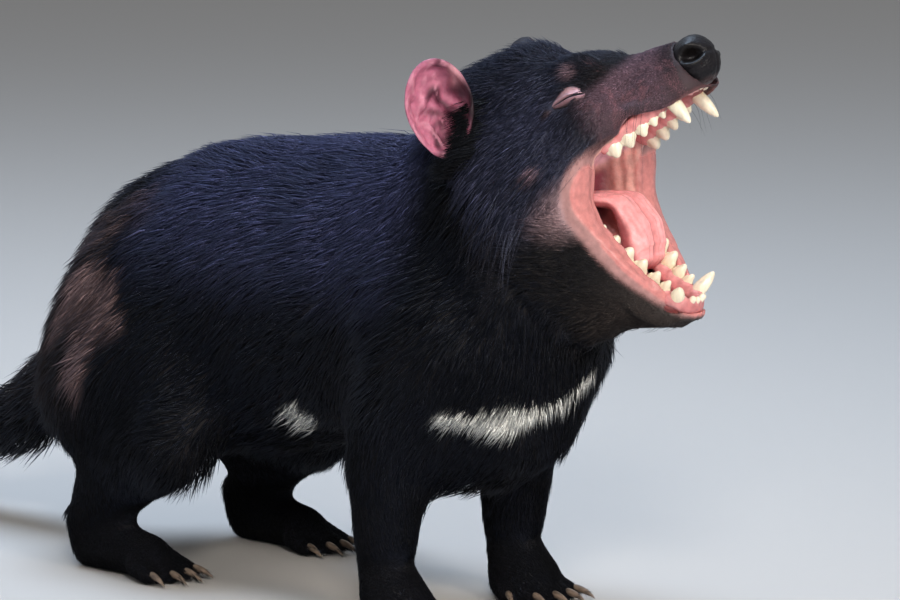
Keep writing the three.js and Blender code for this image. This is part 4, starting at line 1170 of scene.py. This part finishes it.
def ears():
    """Ear shells with folds in their hollow, pink in front and black behind."""
    for name, side in (("left", 1), ("right", -1)):
        obj = subdivided(copy_of(f"ear_{name}", f"ear_shell_{name}"), 3)
        matrix = ear_frame(side)
        points, normals = points_of(obj), normals_of(obj)
        place = local(matrix, points)
        facing = normals @ turned(matrix, 0, 0, 1)
        cup = ramp(facing, 0.0, 0.5)
        front, y = -side * place[:, 0] / EAR["half"][0], place[:, 1] / EAR["half"][1]
        reach = np.hypot(front, y)
        sway, fine = waves(points, 0.024), waves(points, 0.008)
        fold = np.sin(6.5 * (0.9 * y + 0.4 * front) + 2.8 * sway[:, 0])
        hollow = cup * fade(reach, 0.7, 0.98)
        lift = hollow * (2.6 * (1 - reach ** 2) + 1.5 * fold + 1.2 * sway[:, 1] + 0.4 * fine[:, 0])
        rim = np.sin(5 * np.arctan2(y, front) + 1.0) * ramp(reach, 0.8, 1.0)
        points = moved(moved(points, normals, lift), turned(matrix, 0, 0, 1), rim)
        if side > 0:
            points = moved(points, turned(matrix, 0, 1, 0), 3.2 * ramp(y, 0.3, 1.0))
        set_points(obj, smoothed(points, edges_of(obj), 3))
        # Painted shade lies in the hollow and along its crease, a painted highlight high on the front of
        # the hollow, and the painted shadow of the hair over its lower front.
        shade = bell(front, 0.6, 0.4) * bell(y, 0.36, 0.24)
        crease = bell(front, -0.15, 0.42) * bell(y + 0.2 * front, -0.1, 0.10)
        pink = layered(
            EAR_PINK,
            (EAR_DARK, ramp(0.6 * fold + 0.7 * sway[:, 1] + 0.9 * front, -0.3, 0.8)),
            (EAR_PALE, 0.6 * ramp(fine[:, 0] - 0.6 * front - 0.2 * y, 0.25, 0.9)),
            (EAR_CREASE_SHADE, 0.8 * np.maximum(shade, crease)),
            (EAR_LIT, 0.8 * bell(front, 0.62, 0.22) * bell(y, 0.62, 0.2)),
            (EAR_RIM, 0.5 * ramp(reach, 0.86, 1.0)),
            (EAR_SHADE, ramp(front, 0.45, 0.9) * fade(y, 0.15, 0.55)),
        )
        if side > 0:
            pink = mixed(pink, EAR_SHADE, ramp(y, 0.3, 0.6))
        paint(shaded_smooth(obj), mixed(EAR_BACK, pink, ramp(facing, -0.25, 0.2)), 0.25 * cup)
        kept(obj, "ear_skin", SKIN, f"ear_{name}")


# Claws, one at the end of each toe.

# From root to tip: length, half sizes and how far it bends down, in millimetres.
CLAW = (
    (0, 2.3, 2.0, 0), (4, 2.2, 1.9, 0.2), (8, 1.8, 1.6, 0.9), (11.5, 1.2, 1.1, 2.2),
    (14, 0.5, 0.5, 3.6), (15, 0.1, 0.1, 4.4),
)
# Each pair of feet: how far forward its toes end and how far from the middle it stands, in
# millimetres of the model's frame, and whether it has an inner toe.
FEET = ((197, 49, True), (7, 60, False))
TOE_HEIGHT, TOE_SPACING = 4.2, 8.6


def toes(ankle, track, side, inner):
    """Where each toe of a foot begins and ends."""
    rows = [
        (ankle - 20, row * TOE_SPACING, ankle - 2.2 * row * row, row * TOE_SPACING * 1.2)
        for row in (-1.5, -0.5, 0.5, 1.5)
    ]
    if inner:
        rows.append((ankle - 34, -10 * side, ankle - 18, -21 * side))
    return [
        (Vector((base, track * side + a, TOE_HEIGHT)), Vector((tip, track * side + b, TOE_HEIGHT)))
        for base, a, tip, b in rows
    ]


def claws():
    kind = subdivided(lofted("claw_kind", CLAW))
    made = []
    for ankle, track, inner in FEET:
        for side in (1, -1):
            for base, tip in toes(ankle, track, side, inner):
                ahead = (tip - base - Vector((0, 0, 0.5))).normalized()
                down = Vector((0, 0, 1)).cross(ahead).normalized().cross(ahead)
                turn = Matrix((down, ahead.cross(down), ahead)).transposed().to_4x4()
                root = (tip + Vector((0, 0, 2.0)) + ahead * 1.5) * MM
                mesh = kind.data.copy()
                mesh.transform(Matrix.Translation(root) @ turn)
                made.append(new_object("claw", mesh))
    bpy.data.objects.remove(kind)
    row = joined("claws", made)
    points = points_of(row)
    points[:, 2] = np.maximum(points[:, 2], 0.0003)
    set_points(row, points)
    kept(paint(shaded_smooth(row), HORN), "coat", horn_material())


# The coat.

# How the coat lies: places in a frame, with the direction of the hair there, its length in
# millimetres and how far it stands off the skin, in degrees. Each stands for its mirror image too.
LIE = (
    (BODY, [
        ((150, 0, 250), (-1, 0, -0.1), 22, 11), ((40, 0, 248), (-1, 0, -0.05), 22, 11),
        ((-60, 0, 215), (-1, 0, -0.5), 24, 12), ((-110, 0, 165), (-0.7, 0, -1), 24, 13),
        ((100, 60, 200), (-1, 0, -0.35), 24, 11), ((30, 70, 165), (-0.9, 0, -0.5), 25, 11),
        ((40, 55, 105), (-0.85, 0, -0.5), 27, 14), ((30, 0, 75), (-1, 0, -0.15), 28, 20),
        ((180, 0, 75), (-1, 0, -0.1), 24, 17), ((247, 0, 125), (-0.25, 0, -1), 14, 13),
        ((230, 50, 115), (-0.6, 0.1, -0.9), 14, 13), ((215, 75, 190), (-0.8, 0, -0.6), 26, 13),
        ((190, 0, 270), (-1, 0, -0.1), 22, 12), ((255, 25, 160), (-0.4, 0, -0.9), 17, 14),
        ((170, 65, 150), (-0.7, 0, -0.75), 25, 12), ((165, 60, 110), (-0.3, 0, -1), 20, 12),
        ((163, 50, 60), (0, 0, -1), 10, 10), ((175, 50, 20), (1, 0, -0.6), 4, 10),
        ((-50, 80, 140), (-0.7, 0, -0.8), 23, 8), ((-20, 78, 95), (-0.3, 0, -1), 16, 11),
        ((-110, 45, 110), (-0.2, 0, -1), 22, 14), ((-50, 60, 60), (-0.1, 0, -1), 10, 10),
        ((-30, 60, 20), (1, 0, -0.4), 4, 10), ((-135, 0, 105), (-0.85, 0, -0.55), 26, 15),
        ((-200, 0, 62), (-0.88, 0, -0.45), 28, 17), ((-300, 5, 34), (-1, 0, -0.15), 26, 15),
    ]),
    (SKULL, [
        ((88, 0, 34), (-1, 0, 0.05), 3.0, 9), ((75, 22, 20), (-1, 0, -0.1), 2.6, 9),
        ((60, 27, 10), (-1, 0, -0.3), 3, 9), ((48, 22, 52), (-1, 0.1, 0.1), 7, 13),
        ((45, 0, 50), (-1, 0, 0.1), 8, 12), ((16, 0, 70), (-1, 0, 0.1), 13, 24),
        ((20, 38, 45), (-1, 0.1, -0.1), 12, 13), ((40, 45, 18), (-1, 0.05, -0.25), 9, 11),
        ((5, 56, 5), (-0.9, 0.1, -0.5), 16, 13), ((-25, 52, 10), (-0.9, 0.1, -0.5), 24, 15),
        ((-40, 0, 60), (-1, 0, -0.2), 18, 15), ((-35, 45, 40), (-0.7, 0.3, -0.5), 15, 16),
    ]),
    (JAW, [
        ((80, 15, -8), (-1, 0, -0.2), 4, 11), ((45, 32, -12), (-1, 0, -0.3), 8, 12),
        ((20, 45, -10), (-1, 0.1, -0.4), 13, 13), ((50, 0, -30), (-1, 0, -0.4), 11, 14),
    ]),
)
LIE_REACH = 30 * MM
TUFTS = 236000
COAT_PIECES = 8
TUFTS_A_CLUMP = 22
ROOT_CELL = 0.006
UNWRAP_TRIANGLES = 4000

# The corners of a tuft are its root, three round its bend and its tip. Its faces, and where each
# corner lies in its own small patch of the unwrap.
TUFT_FACES = np.array([(0, 3, 1), (0, 2, 3), (0, 1, 2), (4, 1, 3), (4, 3, 2), (4, 2, 1)])
TUFT_PATCH = np.array([(0.5, 0), (0, 0.4), (1, 0.4), (0.5, 0.5), (0.5, 1)]) * 0.003


def coat_lie(points):
    """The lie, the length and the lift of the coat at points."""
    total, weights = np.zeros((len(points), 5)), np.zeros(len(points))
    for matrix, rows in LIE:
        for place, lie, length, lift in rows:
            for side in (1, -1):
                at = np.array(placed(matrix, mirrored(place, side)))
                direction = (matrix.to_3x3() @ mirrored(lie, side)).normalized()
                away = ((points - at) ** 2).sum(1) / LIE_REACH ** 2
                weight = 1 / (0.05 + away) ** 2.5
                total += weight[:, None] * np.array((*direction, length, lift))
                weights += weight
    total /= weights[:, None]
    return total[:, :3], total[:, 3], total[:, 4]


def tuft_width(length):
    return 0.22 + 0.022 * length


def bare(points):
    """Where no hair grows: one on bare skin, zero in the coat."""
    skull, head = local(SKULL, points), local(HEAD, points)
    outer, inner = lip_band(points)
    lips = np.max([ramp(outer, 0.4, 1.0), inner, fade(gape(points), 0.5, 1.5)], axis=0)
    lips *= lip_place(points)[0] < 17
    x, _, z = (skull - EYE["at"]).T
    lids = fade(np.hypot(x / 9.5, (z - 1.5) / 3.8), 0.8, 1.1) * (np.abs(head[:, 1]) > 20)
    rooms = [lining(points, 2.5, 4.5), lips, ramp(skull[:, 0], 92.5, 95), lids]
    for place, radius, _ in WARTS:
        away = apart(folded(skull, -1), place)
        rooms.append(0.6 * fade(away, radius * 0.3, radius * 0.8))
    for side in (1, -1):
        x, y, z = local(ear_frame(side), points).T
        cup = np.hypot(x / EAR["half"][0], y / EAR["half"][1])
        rooms.append(fade(cup, 0.55, 0.8) * (np.abs(z) < 22))
    sole = fade(points[:, 2] / MM, 1.0, 3.0)
    return np.maximum(on_head(points) * np.max(rooms, axis=0), sole)


def parallelogram(a, b, c):
    """Twice the area of triangles."""
    return np.linalg.norm(np.cross(b - a, c - a), axis=1)


def coat_roots(skin):
    """Roots spread over the skin, closer where the hair is short: places and normals."""
    points, normals, corners = points_of(skin), normals_of(skin), corners_of(skin)
    a, b, c = (points[corners[:, i]] for i in range(3))
    middle = (a + b + c) / 3
    length = coat_lie(middle)[1]
    cover = parallelogram(a, b, c) / 2 * (1 - bare(middle)) / (length * tuft_width(length))
    rows, columns = np.round(middle[:, 1] / ROOT_CELL), np.round(middle[:, 0] / ROOT_CELL)
    order = np.lexsort((middle[:, 2], rows, columns))
    steps = np.cumsum(cover[order])
    draws = (np.arange(TUFTS) + rng.random(TUFTS)) / TUFTS * steps[-1]
    face = order[np.minimum(np.searchsorted(steps, draws), len(order) - 1)]
    u, v = rng.random((2, TUFTS))
    flip = u + v > 1
    u, v = np.where(flip, 1 - u, u)[:, None], np.where(flip, 1 - v, v)[:, None]
    root = a[face] + (b[face] - a[face]) * u + (c[face] - a[face]) * v
    na, nb, nc = (normals[corners[face, i]] for i in range(3))
    return root, unit(na * (1 - u - v) + nb * u + nc * v)


def coat(skin):
    """Tufts that lie along the coat, bend over, and lean towards the tips of their clump."""
    root, normal = coat_roots(skin)
    lie, length, lift = coat_lie(root)
    turn = waves(root, 0.06)
    side = unit(np.cross(normal, lie))
    lie = unit(lie) + side * (turn[:, :1] * 0.22 + rng.normal(size=(TUFTS, 1)) * 0.13)
    along = unit(lie - normal * (lie * normal).sum(1)[:, None])
    length = length * rng.uniform(0.65, 1.2, TUFTS) * (1 + 0.10 * turn[:, 1])
    length *= 1 - on_head(root) * fade(lip_place(root)[0], 6, 24) * 0.65
    stray = rng.random(TUFTS) < 0.02
    lift = np.radians(lift * np.where(stray, 2.0, rng.uniform(0.5, 1.35, TUFTS)))[:, None]
    run = length[:, None] * MM
    bend = root + along * run * 0.38 * np.cos(lift) + normal * run * 0.38 * np.sin(lift) * 1.35
    tip = root + along * run * np.cos(lift) + normal * run * np.sin(lift) * 0.8

    centres = rng.choice(TUFTS, TUFTS // TUFTS_A_CLUMP, replace=False)
    lookup = nearest_of(root[centres])
    leader = centres[[lookup.find(place)[1] for place in root]]
    pull = rng.uniform(0.1, 0.6, (TUFTS, 1)) * (0.25 + 0.75 * ramp(length, 4, 12))[:, None]
    reach = ((tip[leader] - root[leader]) * along).sum(1)[:, None]
    own = ((tip - root) * along).sum(1)[:, None]
    share = np.clip(own / np.maximum(reach, 1e-6), 0.5, 1.3)
    tip = tip + (root[leader] + (tip[leader] - root[leader]) * share - tip) * pull
    bend = bend + (bend[leader] - bend) * pull * 0.25

    wide = (tuft_width(length) * rng.uniform(0.7, 1.3, TUFTS))[:, None] * MM / 2
    side = unit(np.cross(normal, along)) * wide
    ridge = bend + normal * wide * 0.8
    places = np.stack([root - normal * 0.6 * MM, bend + side, bend - side, ridge, tip], axis=1)
    places[:, :, 2] = np.maximum(places[:, :, 2], 0.3 * MM)
    tone = coat_colour(bend, BLACK)
    grey = rng.uniform(0.6, 1.5, TUFTS)
    grey = np.where(rng.random(TUFTS) < 0.05, grey * 2.2, grey) * (1 + 0.25 * turn[:, 0])
    pale = np.minimum(tone.max(1) / 0.3, 1)
    tone = tone * (1 + (grey - 1) * (1 - 0.75 * pale))[:, None]
    unwrap = unwrapped(skin, root)
    for number, part in enumerate(np.array_split(np.argsort(-root[:, 0]), COAT_PIECES)):
        coat_piece(f"coat_{number + 1}", places[part], tone[part], unwrap[part])


def coat_piece(name, places, tone, unwrap):
    """One piece of the coat: the mesh of its tufts, with their tones and the unwrap."""
    count, each = places.shape[:2]
    corners = (TUFT_FACES[None] + (np.arange(count) * each)[:, None, None]).ravel()
    mesh = bpy.data.meshes.new(name)
    mesh.vertices.add(count * each)
    mesh.vertices.foreach_set("co", places.reshape(-1).astype(np.float32))
    mesh.loops.add(len(corners))
    mesh.loops.foreach_set("vertex_index", corners.astype(np.int32))
    mesh.polygons.add(len(corners) // 3)
    mesh.polygons.foreach_set("loop_start", np.arange(0, len(corners), 3, dtype=np.int32))
    mesh.update(calc_edges=True)
    spread = (unwrap[:, None] + TUFT_PATCH[None]).reshape(-1, 2)[corners]
    layer = mesh.uv_layers.new(name="OFBake")
    layer.data.foreach_set("uv", spread.astype(np.float32).reshape(-1))
    obj = new_object(name, mesh)
    kept(paint(shaded_smooth(obj), np.repeat(tone, each, axis=0)), "coat", COAT)


def unwrapped(skin, roots):
    """Where each root lies on an unwrap of the skin's own shape."""
    pick(skin)
    bpy.ops.object.duplicate()
    rough = bpy.context.object
    ratio = UNWRAP_TRIANGLES / len(rough.data.polygons)
    modifier(rough, "DECIMATE", ratio=ratio, use_collapse_triangulate=True)
    angle = math.radians(66)
    edited(rough, bpy.ops.uv.smart_project, angle_limit=angle, island_margin=0.004)
    rough.data.calc_loop_triangles()
    points = points_of(rough)
    loops = read(rough.data.uv_layers.active.data, "uv", 2).astype(float)
    triangles = [(tuple(t.vertices), tuple(t.loops)) for t in rough.data.loop_triangles]
    tree = BVHTree.FromPolygons([tuple(p) for p in points], [t[0] for t in triangles])
    hits = [tree.find_nearest(place) for place in roots]
    place = np.array([tuple(hit[0]) for hit in hits])
    corners, loop = np.array(triangles)[[hit[2] for hit in hits]].transpose(1, 0, 2)
    a, b, c = (points[corners[:, i]] for i in range(3))
    whole = np.maximum(parallelogram(a, b, c), 1e-12)
    share_b, share_c = parallelogram(a, place, c) / whole, parallelogram(a, b, place) / whole
    shares = np.stack([1 - share_b - share_c, share_b, share_c], axis=1)
    bpy.data.objects.remove(rough)
    return (loops[loop] * shares[:, :, None]).sum(1)


# Long single hairs: whiskers, bristles and the guard hairs of cheek, brow and ears.

# Groups of hairs on one side: frame, the two ends of the row or area they stand in, how many,
# first direction, last direction, length and thickness in millimetres, tone.
HAIRS = [
    (SKULL, (84, 16, 12), (66, 26, 18), 6, (0.1, 0.9, -0.5), (-0.5, 0.3, -1.0), 46, 0.28, DARK_HAIR),
    (SKULL, (88, 14, 20), (70, 22, 24), 7, (0.2, 1.0, 0.1), (-0.6, 0.5, -0.6), 32, 0.28, DARK_HAIR),
    (SKULL, (49, 33, 48), (45, 34, 44), 5, (0.1, 0.9, 0.6), (-0.7, 0.6, 0.3), 26, 0.28, DARK_HAIR),
    (SKULL, (13, 57, 10), (9, 58, 5), 6, (0.0, 1.0, -0.1), (-0.8, 0.4, -0.5), 32, 0.30, DARK_HAIR),
    (JAW, (92, 3, -9), (66, 14, -14), 22, (0.1, 0.3, -1.0), (-0.5, 0.2, -0.9), 10, 0.24, PALE_HAIR),
    (JAW, (84, 8, -8), (55, 20, -16), 12, (-0.1, 0.3, -1.0), (-0.7, 0.2, -0.9), 15, 0.26, DARK_HAIR),
    (SKULL, (58, 34, 24), (34, 50, 2), 34, (-0.8, 0.35, -0.2), (-1.0, 0.0, -0.5), 40, 0.22, GREY_HAIR),
    (SKULL, (30, 52, 30), (16, 57, -2), 34, (-0.8, 0.35, -0.4), (-0.9, 0.1, -0.6), 46, 0.24, GREY_HAIR),
    (SKULL, (10, 54, 26), (-6, 58, -12), 40, (-0.8, 0.3, -0.5), (-0.8, 0.1, -0.8), 50, 0.24, GREY_HAIR),
    (SKULL, (-14, 54, 16), (-24, 54, -20), 70, (-0.8, 0.3, -0.5), (-0.8, 0.1, -0.9), 48, 0.26, DARK_HAIR),
    (SKULL, (44, 30, 48), (20, 42, 42), 24, (-0.9, 0.3, 0.2), (-1.0, 0.1, -0.2), 28, 0.22, GREY_HAIR),
    (HEAD, (-38, 46, 52), (-34, 50, 22), 560, (-0.5, 0.75, 0.0), (-1.0, 0.35, -0.5), 19, 0.7, BLACK),
    (HEAD, (-34, 52, 24), (-48, 53, 11), 480, (-0.5, 0.7, 0.1), (-0.9, 0.35, -0.3), 18, 0.7, BLACK),
]
HAIR_RINGS = 8


def long_hairs(surface):
    vertices, faces, tones = [], [], []
    for matrix, first, last, count, out, swept, long, thick, tone in HAIRS:
        turn = matrix.to_3x3()
        for side in (1, -1):
            for number in range(count):
                t = (number + rng.uniform(0.2, 0.8)) / count
                place = Vector(first).lerp(Vector(last), t) + Vector(rng.normal(size=3) * 3.0)
                root = surface.find_nearest(placed(matrix, mirrored(place, side)))[0]
                start = mirrored(Vector(out) + Vector(rng.normal(size=3) * 0.12), side)
                end = mirrored(Vector(swept) + Vector(rng.normal(size=3) * 0.14), side)
                start, end = (turn @ start).normalized(), (turn @ end).normalized()
                reach = long * rng.uniform(0.6, 1.1) * MM
                hair(vertices, faces, root, start, end, reach, thick * MM / 2)
                shade = rng.uniform(0.6, 1.4)
                tones += [[c * shade for c in tone]] * (len(vertices) - len(tones))
    mesh = bpy.data.meshes.new("long_hairs")
    mesh.from_pydata(vertices, [], faces)
    obj = shaded_smooth(new_object("long_hairs", mesh))
    kept(paint(obj, np.array(tones)), "coat", COAT)


def hair(vertices, faces, root, start, end, reach, radius):
    """One tapered hair that leaves the skin one way and bends over into another."""
    place = root - start * 0.5 * MM
    across = start.cross(end).normalized()
    first = len(vertices)
    for ring in range(HAIR_RINGS):
        t = ring / HAIR_RINGS
        heading = start.lerp(end, min(1, 1.6 * t)).normalized()
        second = heading.cross(across).normalized()
        size = radius * (1 - 0.85 * t)
        for turn in (0, 2.094, 4.189):
            spoke = across * math.cos(turn) + second * math.sin(turn)
            vertices.append(tuple(place + spoke * size))
        place = place + heading * reach / HAIR_RINGS
        if ring:
            low, high = first + (ring - 1) * 3, first + ring * 3
            for a, b in ((0, 1), (1, 2), (2, 0)):
                faces.append((low + a, low + b, high + b, high + a))
    vertices.append(tuple(place))
    tip = len(vertices) - 1
    faces.extend([
        (tip - 3, tip - 2, tip), (tip - 2, tip - 1, tip), (tip - 1, tip - 3, tip),
        (first + 2, first + 1, first),
    ])


set_camera()
set_studio()
SKIN = skin_material()
COAT = coat_material()
skin = skin_shape()
paint_skin(skin)
kept(skin, "coat", SKIN, *FLESH)
mouth_pieces()
nose()
surface = surface_of(skin)
eyes(surface)
ears()
claws()
coat(skin)
long_hairs(surface)
